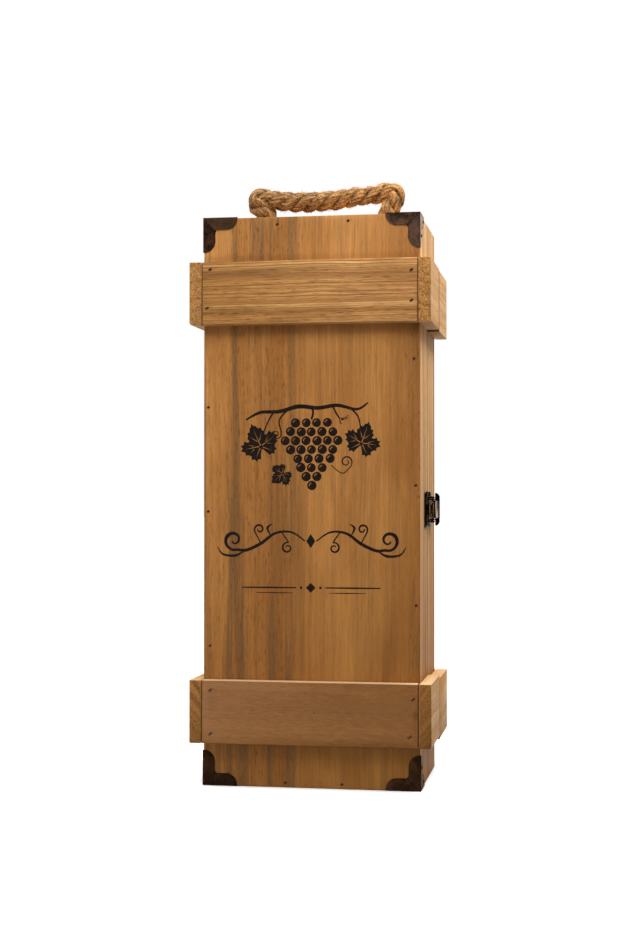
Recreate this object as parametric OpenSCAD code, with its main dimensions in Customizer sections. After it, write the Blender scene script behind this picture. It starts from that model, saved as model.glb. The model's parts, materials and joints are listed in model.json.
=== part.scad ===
// Upright wooden box for one bottle: the front half is a lid, hinged on the left and latched
// on the right, and a rope handle stands in the top of the rear half.
// Millimetres, X to the right, Y to the back, Z up; the origin is the middle of the bottom.

/* [Box] */
// Width over the side boards
box_w = 134; // [116:1:180]
// Height over the top and bottom boards
box_h = 350; // [310:5:420]
// Depth over the front and back panels
box_d = 94; // [84:1:130]
// Depth of the front half, which is the lid
lid_d = 46; // [38:1:56]
// Gap between the closed halves
seam_gap = 0.4; // [0.2:0.1:1]

/* [Boards] */
// Thickness of the front and back panels
panel_t = 7; // [5:0.5:9]
// Thickness of the side boards
side_t = 7; // [5:0.5:10]
// Thickness of the top and bottom boards
end_t = 7; // [5:0.5:10]

/* [Battens] */
// Thickness of the battens
batten_t = 7.6; // [7:0.2:12]
// Height of the battens
batten_h = 38.8; // [32:0.2:50]
// Height of the lower band above the bottom of the box
lower_band = 26.5; // [25:0.5:50]
// Depth of the upper band below the top of the box
upper_band = 28; // [25:0.5:50]
// Gap at each end of the front and rear battens
batten_gap = 0.3; // [0.1:0.1:1]
// How much lower the rear half's lower band sits than the front half's
lower_band_drop = 2; // [0:0.2:3]
// How much lower the rear half's upper band sits than the front half's
upper_band_drop = 0.8; // [0:0.2:3]

/* [Brads and tacks] */
// Diameter of the brads
brad_d = 1.2; // [1:0.1:1.8]
// Length of the brads in the panels and the frame
brad_l = 18; // [14:1:20]
// Length of the brads in the front and rear battens
batten_brad_l = 20; // [17:1:22]
// Length of the brads in the side battens
side_brad_l = 11; // [9:0.5:11]
// How far the brads are sunk
brad_sink = 0.2; // [0.1:0.1:0.6]
// Clearance round a brad or a tack
nail_fit = 0.05; // [0.02:0.01:0.1]
// Shank diameter of the tacks
tack_d = 1; // [0.8:0.1:1.4]
// Shank length of the tacks
tack_l = 4.2; // [3:0.2:4.4]
// Head diameter of the tacks
tack_head_d = 2.2; // [1.8:0.1:3]
// Head height of the tacks
tack_head_h = 0.5; // [0.3:0.1:0.8]

/* [Corner brackets] */
// Length of a bracket's legs
bracket_leg = 21; // [17:0.5:24]
// Width of a bracket's legs
bracket_w = 7; // [6:0.5:9]
// Thickness of a bracket
bracket_t = 0.6; // [0.4:0.1:1]
// Radius of a bracket's inner corner
bracket_r = 2; // [1:0.5:4]
// Clearance round the brackets let into the bottom
seat_fit = 0.2; // [0.1:0.05:0.4]

/* [Hinges] */
// Height of a hinge
hinge_h = 26; // [20:1:30]
// Width of a hinge leaf from the seam
leaf_w = 12; // [10:0.5:15]
// Thickness of a hinge leaf
leaf_t = 0.8; // [0.6:0.1:1]
// Outer diameter of a hinge knuckle
knuckle_d = 4; // [3.6:0.2:5]
// Diameter of a hinge pin
hinge_pin_d = 1.8; // [1.4:0.1:2.2]
// Radial clearance of the pin in its knuckles
pin_fit = 0.05; // [0.03:0.01:0.09]
// Gap between moving hinge pieces, and between a knuckle and a batten
hinge_gap = 0.3; // [0.3:0.05:0.5]

/* [Latch] */
// Height of the latch's middle above the bottom of the box
latch_z = 169.5; // [120:0.5:230]
// Thickness of the latch's sheet metal
latch_t = 0.8; // [0.6:0.1:1]
// Height of the catch plate
catch_h = 23; // [21:0.2:28]
// Depth of the catch plate
catch_w = 18.5; // [15:0.5:19]
// Distance of the catch plate from the seam
catch_from_seam = 1.5; // [1:0.5:5]
// Distance of the hook from the seam
hook_from_seam = 12.2; // [10:0.2:14]
// Width of the hook
hook_w = 6.4; // [4:0.2:7]
// How far the hook stands out of the side board
hook_out = 4.2; // [3.4:0.1:5]
// Height of the latch's base plate
base_plate_h = 22.5; // [17:0.5:24]
// Depth of the latch's base plate
base_plate_w = 14; // [12:0.5:16]
// Distance of the base plate from the seam
base_plate_from_seam = 1; // [0.8:0.1:2]
// Distance of the lever's pivot from the seam
pivot_from_seam = 5.5; // [4.5:0.1:7]
// Distance of the lever's pivot from the side board
pivot_out = 2.6; // [2.5:0.1:3.2]
// Diameter of the rivets that the lever turns on
rivet_d = 1.5; // [1.2:0.1:1.6]
// Diameter of the link's wire
wire_d = 1.6; // [1.2:0.1:1.8]
// Height of the link over its two legs
link_h = 11.4; // [11:0.2:14]
// Distance from the lever's pivot to the link's pivot
link_throw = 4.4; // [4:0.1:5]
// Height of the lever's finger plate
lever_h = 21; // [18:0.5:24]
// Distance from the pivot to the start of the finger plate
plate_from_pivot = 8; // [8:0.1:9]
// Length of the finger plate
plate_l = 7.5; // [6:0.1:10]
// Radius of the finger plate's corners
plate_r = 4; // [2:0.5:5]
// How far the finger plate's end turns out
flare_out = 1.6; // [1:0.1:2]
// Gap between moving latch pieces
latch_gap = 0.3; // [0.25:0.05:0.4]
// Radial clearance of the latch's pivots
latch_fit = 0.05; // [0.03:0.01:0.09]

/* [Handle] */
// Diameter of the rope
rope_d = 10.4; // [8:0.2:10.8]
// Clearance round the rope in its holes
rope_clear = 0.6; // [0.4:0.1:1.2]
// Distance from the box's side to the middle of the rope's hole
rope_from_side = 26.5; // [25:0.5:28]
// How far the handle lifts before its knots meet the top board
handle_lift = 10; // [6:1:16]
// Diameter of the knots
knot_d = 19; // [16:0.5:22]
// Height of the knots
knot_h = 15; // [12:0.5:18]
// Length of the rope's tails under the knots
tail_l = 9; // [4:1:15]
// Gap between the raised knots and the top board
knot_gap = 0.3; // [0.3:0.1:0.6]

/* [Hidden] */

$fn = 48;
wood = "#b98655";
pale_wood = "#c99d6b";
end_grain = "#b07a45";
bronze = "#4a3b32";
black_metal = "#2b2622";
nail_metal = "#5b4a3c";
jute = "#b98a55";

front_y = -box_d / 2;
back_y = box_d / 2;
seam_y = front_y + lid_d;
lid_edge = seam_y - seam_gap / 2;
base_edge = seam_y + seam_gap / 2;
side_x = box_w / 2;
inner_x = side_x - side_t;
lower_z = lower_band;
upper_z = box_h - upper_band - batten_h;
band_middles = [lower_z + batten_h / 2, upper_z + batten_h / 2];
rear_middles = [band_middles[0] - lower_band_drop, band_middles[1] - upper_band_drop];

// Brads: [x, z] on the panels, counted from the middle of the box and from its bottom
side_brad_x = side_x - side_t / 2;
front_side_brads = [
    [0.4 - side_brad_x, 85.7], [-0.8 - side_brad_x, 168.5], [-0.7 - side_brad_x, 232.9],
    [side_brad_x + 1.2, 111.8], [side_brad_x + 1, 184.5], [side_brad_x, 261.4]
];
rear_side_brad_step = 75;
rear_side_brads = [
    for (s = [-1, 1], k = [-1, 0, 1]) [s * side_brad_x, box_h / 2 + k * rear_side_brad_step]
];
front_end_brads = [
    [-20.9, box_h - 4.6], [23.2, box_h - 3.6], [-15.7, 2.7], [19.2, 2.7]
];
rear_end_brad_x = 20;
rear_end_brads = [
    for (s = [-1, 1], z = [end_t / 2, box_h - end_t / 2]) [s * rear_end_brad_x, z]
];
// Brads: [x, z] from the middle of each batten's end, where it lies over a side board
upper_batten_brads = [[-2, 14.8], [0.2, -9], [-0.7, 11.7], [-0.7, -6.6]];
lower_batten_brads = [[-2.4, 13.4], [-2.4, -13.3], [0.1, 10.1], [-2, -12.5]];
rear_batten_brads = [[0, 11], [0, -11], [0, 11], [0, -11]];
// Distance of the side battens' brads from the front or back panel's face
side_brad_in = 28;
// Distance of the side battens' brads from the middle of their height
side_brad_z = 10;
// Distances of the frame's brads from the front or back panel's face
frame_brad_in = [24, 34];

// Distances of the brackets' tacks from the box's corner, along a leg and across it
bracket_tack_long = 13.5;
bracket_tack_short = 3.5;

// Hinge axis, outside the left battens
leaf_x = -side_x - batten_t;
hinge_x = leaf_x - knuckle_d / 2 - hinge_gap;
knuckle_h = hinge_h / 3;
leaf_notch = knuckle_d / 2 + 2 * hinge_gap;
// Distances of the leaves' tacks from their ends and from their outer edges
leaf_tack_end = 5;
leaf_tack_in = 3.5;

// Latch, counted from the seam on the right side board's face
link_leg_z = link_h / 2 - wire_d / 2;
lever_ear_z = link_h / 2 + latch_gap;
base_ear_z = lever_ear_z + latch_t + latch_gap;
rivet_z = base_ear_z + latch_t;
// Distance of the latch plates' tacks from the plates' edges, and half the step between the base's
latch_tack_in = 2.6;
base_tack_z = 3.2;
ear_r = pivot_out - latch_t - latch_gap;
link_pivot = pivot_from_seam + link_throw;
hook_front = -hook_from_seam - latch_t;
link_front = hook_front - latch_gap - wire_d / 2;
plate_out = 1;

// Rope: [x outside the hole's middle, height above the box] along the left leg and over the
// top to the right leg
rope_y = (base_edge + back_y - panel_t) / 2;
rope_span = box_w - 2 * rope_from_side;
knot_top = -end_t - knot_gap - handle_lift;
rope_left = [
    [0, 0], [0, 4.5], [-0.7, 8.4], [-2.9, 11.7], [-5, 15], [-5.8, 18.8], [-4.9, 22], [-2.6, 24.3],
    [0.6, 25.1], [4.6, 24.6], [10, 23.5], [18.5, 21.8], [32.5, 20.8]
];
rope_right = [
    [-34.5, 21.2], [-22.5, 22.7], [-12.5, 24.7], [-6.5, 25.7], [-2.5, 25.8], [0.9, 24.8],
    [3.1, 22.4], [3.9, 19.2], [3.3, 15.7], [1.9, 12.3], [0.6, 8.8], [0, 5], [0, 0]
];
rope_route = concat(
    [[-rope_span / 2, knot_top], [-rope_span / 2, knot_top / 2]],
    [for (p = rope_left) [p[0] - rope_span / 2, p[1]]],
    [for (p = rope_right) [p[0] + rope_span / 2, p[1]]],
    [[rope_span / 2, knot_top / 2], [rope_span / 2, knot_top]]
);
rope_steps = 2;
rope_sides = 12;

// Fasteners, along +Z into the wood from a face at z = 0

module brad(length, hole = false) {
    if (hole)
        translate([0, 0, -1])
            cylinder(d = brad_d + 2 * nail_fit, h = length + brad_sink + 1 + nail_fit);
    else
        translate([0, 0, brad_sink]) cylinder(d = brad_d, h = length);
}

module tack(on, hole = false) {
    if (hole)
        translate([0, 0, -1]) cylinder(d = tack_d + 2 * nail_fit, h = tack_l + 1 + nail_fit);
    else {
        cylinder(d = tack_d, h = tack_l);
        translate([0, 0, -on - tack_head_h]) cylinder(d = tack_head_d, h = tack_head_h);
        translate([0, 0, -on]) cylinder(d = tack_d, h = on);
    }
}

// Points a fastener's +Z along the world's +Y, -Y, +X, -X or -Z
module into_front() { rotate([-90, 0, 0]) children(); }
module into_back() { rotate([90, 0, 0]) children(); }
module into_left() { rotate([0, 90, 0]) children(); }
module into_right() { rotate([0, -90, 0]) children(); }
module into_top() { rotate([180, 0, 0]) children(); }

module front_panel_brad_set(hole = false) {
    for (p = concat(front_side_brads, front_end_brads))
        translate([p[0], front_y, p[1]]) into_front() brad(brad_l, hole);
}

module back_panel_brad_set(hole = false) {
    for (p = concat(rear_side_brads, rear_end_brads))
        translate([p[0], back_y, p[1]]) into_back() brad(brad_l, hole);
}

module frame_brad_set(y, hole = false) {
    for (z = [end_t / 2, box_h - end_t / 2]) {
        translate([-side_x, y, z]) into_left() brad(brad_l, hole);
        translate([side_x, y, z]) into_right() brad(brad_l, hole);
    }
}

module lid_frame_brad_set(hole = false) {
    for (d = frame_brad_in) frame_brad_set(front_y + d, hole);
}

module base_frame_brad_set(hole = false) {
    for (d = frame_brad_in) frame_brad_set(back_y - d, hole);
}

module front_batten_brad_set(band, offsets, hole = false) {
    for (i = [0:3])
        translate([
            (i < 2 ? -1 : 1) * (side_brad_x + offsets[i][0]),
            front_y - batten_t,
            band_middles[band] + offsets[i][1]
        ]) into_front() brad(batten_brad_l, hole);
}

module rear_batten_brad_set(band, hole = false) {
    for (i = [0:3])
        translate([
            (i < 2 ? -1 : 1) * (side_brad_x + rear_batten_brads[i][0]),
            back_y + batten_t,
            rear_middles[band] + rear_batten_brads[i][1]
        ]) into_back() brad(batten_brad_l, hole);
}

module side_batten_brad_set(y, middle, hole = false) {
    for (z = [middle - side_brad_z, middle + side_brad_z]) {
        translate([-side_x - batten_t, y, z])
            into_left() brad(side_brad_l, hole);
        translate([side_x + batten_t, y, z])
            into_right() brad(side_brad_l, hole);
    }
}

module lid_batten_brad_set(band, hole = false) {
    front_batten_brad_set(band, band == 0 ? lower_batten_brads : upper_batten_brads, hole);
    side_batten_brad_set(front_y + side_brad_in, band_middles[band], hole);
}

module base_batten_brad_set(band, hole = false) {
    rear_batten_brad_set(band, hole);
    side_batten_brad_set(back_y - side_brad_in, rear_middles[band], hole);
}

// Boards

module side_board(side, y0, y1) {
    translate([side > 0 ? inner_x : -side_x, y0, 0]) cube([side_t, y1 - y0, box_h]);
}

module end_board(z, y0, y1) {
    translate([-inner_x, y0, z]) cube([2 * inner_x, y1 - y0, end_t]);
}

module cross_batten(y, middle) {
    translate([-side_x + batten_gap, y, middle - batten_h / 2])
        cube([box_w - 2 * batten_gap, batten_t, batten_h]);
}

module side_batten(side, y0, y1, middle) {
    translate([side > 0 ? side_x : -side_x - batten_t, y0, middle - batten_h / 2])
        cube([batten_t, y1 - y0, batten_h]);
}

module lid_side(side) {
    difference() {
        side_board(side, front_y + panel_t, lid_edge);
        front_panel_brad_set(true);
        lid_frame_brad_set(true);
        lid_batten_brad_set(0, true);
        lid_batten_brad_set(1, true);
        bracket_tack_set(true);
        if (side > 0) catch_tack_set(true);
        bottom_bracket_seats();
    }
}

module base_side(side) {
    difference() {
        side_board(side, base_edge, back_y - panel_t);
        back_panel_brad_set(true);
        base_frame_brad_set(true);
        base_batten_brad_set(0, true);
        base_batten_brad_set(1, true);
        if (side > 0) latch_base_tack_set(true);
    }
}

module lid_side_batten(side, band) {
    difference() {
        side_batten(side, front_y - batten_t, lid_edge, band_middles[band]);
        side_batten_brad_set(front_y + side_brad_in, band_middles[band], true);
        if (side < 0) hinge_tack_set(-1, true);
    }
}

module base_side_batten(side, band) {
    difference() {
        side_batten(side, base_edge, back_y + batten_t, rear_middles[band]);
        side_batten_brad_set(back_y - side_brad_in, rear_middles[band], true);
        if (side < 0) hinge_tack_set(1, true);
    }
}

module lid_end(z) {
    difference() {
        end_board(z, front_y + panel_t, lid_edge);
        front_panel_brad_set(true);
        lid_frame_brad_set(true);
        bottom_bracket_seats();
    }
}

module base_end(z) {
    difference() {
        end_board(z, base_edge, back_y - panel_t);
        back_panel_brad_set(true);
        base_frame_brad_set(true);
    }
}

// Corner brackets: a leg of each flange runs along two edges of the box, and ends in a
// quarter round whose tip lies on the edge

module bracket_leg_2d(leg, width) {
    translate([width - leg, -width]) square([leg - width, width]);
    intersection() {
        translate([width - leg, 0]) circle(r = width);
        translate([-leg, -width]) square([width, width]);
    }
}

module bracket_flange_2d(leg, width, lap) {
    bracket_leg_2d(leg, width);
    mirror([1, -1, 0]) bracket_leg_2d(leg, width);
    translate([-leg, 0]) square([leg + lap, lap]);
    translate([0, -leg]) square([lap, leg + lap]);
    difference() {
        translate([-width - bracket_r, -width - bracket_r]) square(bracket_r);
        translate([-width - bracket_r, -width - bracket_r]) circle(r = bracket_r);
    }
}

module bracket_flange() {
    linear_extrude(bracket_t) bracket_flange_2d(bracket_leg, bracket_w, bracket_t);
}

// The upper right bracket, about the box's corner
module bracket() {
    rotate([90, 0, 0]) bracket_flange();
    translate([bracket_t, 0, 0]) rotate([90, 0, -90]) bracket_flange();
    mirror([0, 1, 0]) bracket_flange();
}

module upper_bracket() {
    translate([side_x, front_y, box_h]) bracket();
}

// The lower brackets are let into the bottom, so that the box stands on wood and metal alike
module lower_bracket() {
    translate([side_x, front_y, bracket_t]) mirror([0, 0, 1]) bracket();
}

module bottom_bracket_seats() {
    for (m = [0, 1])
        mirror([m, 0, 0]) translate([side_x, front_y, -1]) mirror([0, 1, 0])
            linear_extrude(bracket_t + 1)
                bracket_flange_2d(bracket_leg + seat_fit, bracket_w + seat_fit, 1);
}

// Two tacks on each side flange: one holds the side board, the other the front panel's edge
module right_bracket_tack_set(hole) {
    for (p = [[bracket_tack_long, bracket_tack_short], [bracket_tack_short, bracket_tack_long]])
        for (z = [box_h - p[1], p[1]])
            translate([side_x, front_y + p[0], z]) into_right() tack(bracket_t, hole);
}

// A right bracket with holes for its tacks
module tacked() {
    difference() {
        children();
        right_bracket_tack_set(true);
    }
}

module bracket_tack_set(hole = false) {
    for (m = [0, 1]) mirror([m, 0, 0]) right_bracket_tack_set(hole);
}

// Hinges

module at_hinges() {
    for (z = band_middles) translate([hinge_x, seam_y, z]) children();
}

module knuckle(z0, z1) {
    translate([0, 0, z0]) cylinder(d = knuckle_d, h = z1 - z0);
}

// A leaf in front of the seam (way -1) or behind it (way 1), with its own knuckles in the
// spans own, and notched round the other leaf's knuckles in the spans other
module leaf(way, own, other) {
    plate_x = leaf_x - hinge_x - leaf_t;
    difference() {
        union() {
            for (s = own) knuckle(s[0], s[1]);
            difference() {
                translate([plate_x, way > 0 ? seam_gap / 2 : -leaf_w, -hinge_h / 2])
                    cube([leaf_t, leaf_w - seam_gap / 2, hinge_h]);
                for (s = other)
                    translate([plate_x - 1, -leaf_notch, s[0]])
                        cube([leaf_t + 2, 2 * leaf_notch, s[1] - s[0]]);
            }
        }
        translate([0, 0, -hinge_h]) cylinder(d = hinge_pin_d + 2 * pin_fit, h = 2 * hinge_h);
        for (s = [-1, 1])
            translate([plate_x - 1, way * (leaf_w - leaf_tack_in), s * (hinge_h / 2 - leaf_tack_end)])
                rotate([0, 90, 0]) cylinder(d = tack_d + 2 * nail_fit, h = leaf_t + 2);
    }
}

module hinge_tack_set(way, hole = false) {
    at_hinges()
        for (s = [-1, 1])
            translate([
                leaf_x - hinge_x, way * (leaf_w - leaf_tack_in), s * (hinge_h / 2 - leaf_tack_end)
            ])
                into_left() tack(leaf_t, hole);
}

// Latch, drawn about the seam at the right side board's face

module at_latch() {
    translate([side_x, seam_y, latch_z]) children();
}

module rounded_plate(depth, height, radius) {
    translate([0, radius - height / 2]) square([depth, height - 2 * radius]);
    translate([radius, -height / 2]) square([depth - 2 * radius, height]);
    for (x = [radius, depth - radius], y = [-1, 1])
        translate([x, y * (height / 2 - radius)]) circle(r = radius);
}

// Stands a plate drawn as [depth, height] on the side board
module on_side(thickness) {
    rotate([90, 0, 90]) linear_extrude(thickness) children();
}

module catch_tack_set(hole = false) {
    at_latch()
        for (z = [-1, 1])
            translate([0, -catch_from_seam - catch_w / 2, z * (catch_h / 2 - latch_tack_in)])
                into_right() tack(latch_t, hole);
}

module latch_base_tack_set(hole = false) {
    at_latch()
        for (s = [-1, 1])
            translate([0, base_plate_from_seam + base_plate_w - latch_tack_in, s * base_tack_z])
                into_right() tack(latch_t, hole);
}

module tack_holes_through(depth) {
    translate([-1, 0, 0]) rotate([0, 90, 0]) cylinder(d = tack_d + 2 * nail_fit, h = depth + 2);
}

module ear_2d(radius, foot) {
    difference() {
        union() {
            translate([pivot_out, pivot_from_seam]) circle(r = radius);
            translate([foot, pivot_from_seam - radius])
                square([pivot_out - foot, 2 * radius]);
        }
        translate([pivot_out, pivot_from_seam]) circle(d = rivet_d + 2 * latch_fit);
    }
}

module lever_ear_2d() {
    difference() {
        union() {
            translate([pivot_out, pivot_from_seam]) circle(r = ear_r);
            translate([pivot_out - ear_r, pivot_from_seam])
                square([ear_r + plate_out + latch_t, plate_from_pivot + 1]);
        }
        translate([pivot_out, pivot_from_seam]) circle(d = rivet_d + 2 * latch_fit);
        translate([pivot_out, link_pivot]) circle(d = wire_d + 2 * latch_fit);
    }
}

module finger_plate_2d() {
    flare_run = plate_l * 0.4;
    translate([pivot_out + plate_out, pivot_from_seam + plate_from_pivot])
        polygon([
            [0, 0], [0, plate_l - flare_run], [flare_out, plate_l],
            [flare_out + latch_t, plate_l - latch_t / 2],
            [latch_t, plate_l - flare_run - latch_t / 4], [latch_t, 0]
        ]);
}

// Rope: a smooth line through the route's points, and a tube along it

function route_point(i) = rope_route[max(0, min(len(rope_route) - 1, i))];
function smooth_point(i, t) =
    let(a = route_point(i - 1), b = route_point(i), c = route_point(i + 1), d = route_point(i + 2))
    0.5 * (2 * b + (c - a) * t + (2 * a - 5 * b + 4 * c - d) * t * t
        + (3 * b - a - 3 * c + d) * t * t * t);
rope_line = concat(
    [for (i = [0:len(rope_route) - 2], s = [0:rope_steps - 1]) smooth_point(i, s / rope_steps)],
    [rope_route[len(rope_route) - 1]]
);
rope_last = len(rope_line) - 1;
function rope_heading(i) =
    i == 0 || i == rope_last
        ? (i == 0 ? [0, 1] : [0, -1])
        : let(v = rope_line[i + 1] - rope_line[i - 1]) v / norm(v);
function rope_ring(i) =
    let(p = rope_line[i], h = rope_heading(i))
    [for (k = [0:rope_sides - 1])
        let(a = 360 * k / rope_sides)
        [
            p[0] + rope_d / 2 * cos(a) * h[1],
            rope_y + rope_d / 2 * sin(a),
            box_h + p[1] - rope_d / 2 * cos(a) * h[0]
        ]
    ];

module rope_tube() {
    points = [for (i = [0:rope_last], p = rope_ring(i)) p];
    walls = [
        for (i = [0:rope_last - 1], k = [0:rope_sides - 1])
            let(a = i * rope_sides + k, b = i * rope_sides + (k + 1) % rope_sides)
            [a, b, b + rope_sides, a + rope_sides]
    ];
    first = [for (k = [rope_sides - 1:-1:0]) k];
    last = [for (k = [0:rope_sides - 1]) rope_last * rope_sides + k];
    polyhedron(points, concat([first, last], walls), convexity = 8);
}

module at_knots() {
    for (s = [-1, 1]) translate([s * rope_span / 2, rope_y, box_h + knot_top]) children();
}

// Rear half

module back_panel() {
    color(wood) difference() {
        translate([-side_x, back_y - panel_t, 0]) cube([box_w, panel_t, box_h]);
        back_panel_brad_set(true);
        rear_batten_brad_set(0, true);
        rear_batten_brad_set(1, true);
    }
}

module base_left_side() { color(pale_wood) base_side(-1); }
module base_right_side() { color(pale_wood) base_side(1); }

module base_top_board() {
    color(pale_wood) difference() {
        base_end(box_h - end_t);
        for (s = [-1, 1])
            translate([s * rope_span / 2, rope_y, box_h - end_t - 1])
                cylinder(d = rope_d + 2 * rope_clear, h = end_t + 2);
    }
}

module base_bottom_board() { color(pale_wood) base_end(0); }

module rear_upper_batten() {
    color(wood) difference() {
        cross_batten(back_y, rear_middles[1]);
        rear_batten_brad_set(1, true);
    }
}

module rear_lower_batten() {
    color(wood) difference() {
        cross_batten(back_y, rear_middles[0]);
        rear_batten_brad_set(0, true);
    }
}

module base_left_upper_batten() { color(pale_wood) base_side_batten(-1, 1); }
module base_right_upper_batten() { color(pale_wood) base_side_batten(1, 1); }
module base_left_lower_batten() { color(pale_wood) base_side_batten(-1, 0); }
module base_right_lower_batten() { color(pale_wood) base_side_batten(1, 0); }

module back_panel_brads() { color(nail_metal) back_panel_brad_set(); }
module base_frame_brads() { color(nail_metal) base_frame_brad_set(); }

module base_batten_brads() {
    color(nail_metal) for (band = [0, 1]) base_batten_brad_set(band);
}

module hinge_base_leaves() {
    color(bronze) at_hinges()
        leaf(1, [
            [-hinge_h / 2, -knuckle_h / 2 - hinge_gap], [knuckle_h / 2 + hinge_gap, hinge_h / 2]
        ], [[-knuckle_h / 2 - hinge_gap, knuckle_h / 2 + hinge_gap]]);
}

module hinge_pins() {
    color(black_metal) at_hinges() {
        translate([0, 0, -hinge_h / 2]) cylinder(d = hinge_pin_d, h = hinge_h);
        for (m = [0, 1])
            mirror([0, 0, m]) translate([0, 0, hinge_h / 2])
                cylinder(d = hinge_pin_d + 0.8, h = 0.5);
    }
}

module hinge_base_tacks() { color(nail_metal) hinge_tack_set(1); }

module latch_base_plate() {
    color(black_metal) at_latch() {
        difference() {
            translate([0, base_plate_from_seam, 0])
                on_side(latch_t) rounded_plate(base_plate_w, base_plate_h, 1.5);
            for (s = [-1, 1])
                translate([0, base_plate_from_seam + base_plate_w - latch_tack_in, s * base_tack_z])
                    tack_holes_through(latch_t);
        }
        for (m = [0, 1])
            mirror([0, 0, m]) translate([0, 0, base_ear_z])
                linear_extrude(latch_t) ear_2d(ear_r + latch_gap / 2, latch_t / 2);
    }
}

module latch_base_tacks() { color(nail_metal) latch_base_tack_set(); }

module latch_rivets() {
    color(black_metal) at_latch()
        for (m = [0, 1])
            mirror([0, 0, m]) translate([pivot_out, pivot_from_seam, lever_ear_z]) {
                cylinder(d = rivet_d, h = rivet_z - lever_ear_z);
                translate([0, 0, rivet_z - lever_ear_z]) cylinder(d = rivet_d + 1, h = 0.5);
            }
}

// Lid

module front_panel() {
    color(wood) difference() {
        translate([-side_x, front_y, 0]) cube([box_w, panel_t, box_h]);
        front_panel_brad_set(true);
        front_batten_brad_set(0, lower_batten_brads, true);
        front_batten_brad_set(1, upper_batten_brads, true);
        bracket_tack_set(true);
        bottom_bracket_seats();
    }
}

module lid_left_side() { color(pale_wood) lid_side(-1); }
module lid_right_side() { color(pale_wood) lid_side(1); }
module lid_top_board() { color(pale_wood) lid_end(box_h - end_t); }
module lid_bottom_board() { color(pale_wood) lid_end(0); }

module front_upper_batten() {
    color(wood) difference() {
        cross_batten(front_y - batten_t, band_middles[1]);
        front_batten_brad_set(1, upper_batten_brads, true);
    }
}

module front_lower_batten() {
    color(wood) difference() {
        cross_batten(front_y - batten_t, band_middles[0]);
        front_batten_brad_set(0, lower_batten_brads, true);
    }
}

module lid_left_upper_batten() { color(end_grain) lid_side_batten(-1, 1); }
module lid_right_upper_batten() { color(end_grain) lid_side_batten(1, 1); }
module lid_left_lower_batten() { color(end_grain) lid_side_batten(-1, 0); }
module lid_right_lower_batten() { color(end_grain) lid_side_batten(1, 0); }

module front_panel_brads() { color(nail_metal) front_panel_brad_set(); }
module lid_frame_brads() { color(nail_metal) lid_frame_brad_set(); }

module lid_batten_brads() {
    color(nail_metal) for (band = [0, 1]) lid_batten_brad_set(band);
}

module upper_left_bracket() { color(bronze) mirror([1, 0, 0]) tacked() upper_bracket(); }
module upper_right_bracket() { color(bronze) tacked() upper_bracket(); }
module lower_left_bracket() { color(bronze) mirror([1, 0, 0]) tacked() lower_bracket(); }
module lower_right_bracket() { color(bronze) tacked() lower_bracket(); }
module bracket_tacks() { color(nail_metal) bracket_tack_set(); }

module hinge_lid_leaves() {
    color(bronze) at_hinges()
        leaf(-1, [[-knuckle_h / 2, knuckle_h / 2]], [
            [-hinge_h, -knuckle_h / 2], [knuckle_h / 2, hinge_h]
        ]);
}

module hinge_lid_tacks() { color(nail_metal) hinge_tack_set(-1); }

module catch_plate() {
    color(black_metal) at_latch() {
        difference() {
            translate([0, -catch_from_seam - catch_w, 0])
                on_side(latch_t) rounded_plate(catch_w, catch_h, 1.5);
            for (z = [-1, 1])
                translate([0, -catch_from_seam - catch_w / 2, z * (catch_h / 2 - latch_tack_in)])
                    tack_holes_through(latch_t);
        }
        translate([latch_t / 2, hook_front, -hook_w / 2])
            cube([hook_out - latch_t / 2, latch_t, hook_w]);
    }
}

module catch_tacks() { color(nail_metal) catch_tack_set(); }

// Latch's moving pieces

module latch_lever() {
    color(black_metal) at_latch() {
        for (m = [0, 1])
            mirror([0, 0, m]) translate([0, 0, lever_ear_z]) linear_extrude(latch_t) lever_ear_2d();
        intersection() {
            translate([0, 0, -lever_h / 2]) linear_extrude(lever_h) finger_plate_2d();
            translate([0, pivot_from_seam + plate_from_pivot - plate_r, 0])
                on_side(pivot_out + plate_out + flare_out + 2)
                    rounded_plate(plate_l + plate_r, lever_h, plate_r);
        }
        translate([
            pivot_out + plate_out + latch_t / 2, pivot_from_seam + plate_from_pivot + 1.4, -link_h / 2
        ]) cylinder(r = 1.2, h = link_h);
    }
}

module latch_link() {
    color(black_metal) at_latch() {
        for (s = [-1, 1]) {
            translate([pivot_out, link_front, s * link_leg_z])
                rotate([-90, 0, 0]) cylinder(d = wire_d, h = link_pivot - link_front);
            translate([pivot_out, link_front, s * link_leg_z]) sphere(d = wire_d);
        }
        translate([pivot_out, link_front, -link_leg_z]) cylinder(d = wire_d, h = 2 * link_leg_z);
        translate([pivot_out, link_pivot, -lever_ear_z - latch_t])
            cylinder(d = wire_d, h = 2 * (lever_ear_z + latch_t));
    }
}

// Handle

module handle_rope() { color(jute) rope_tube(); }

module rope_knots() {
    ring_r = knot_d * 0.21;
    color(jute) at_knots() {
        translate([0, 0, -knot_h - tail_l]) cylinder(d = rope_d, h = knot_h + tail_l);
        for (z = [ring_r, knot_h - ring_r])
            translate([0, 0, -z])
                rotate_extrude() translate([knot_d / 2 - ring_r, 0]) circle(r = ring_r);
    }
}

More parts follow.
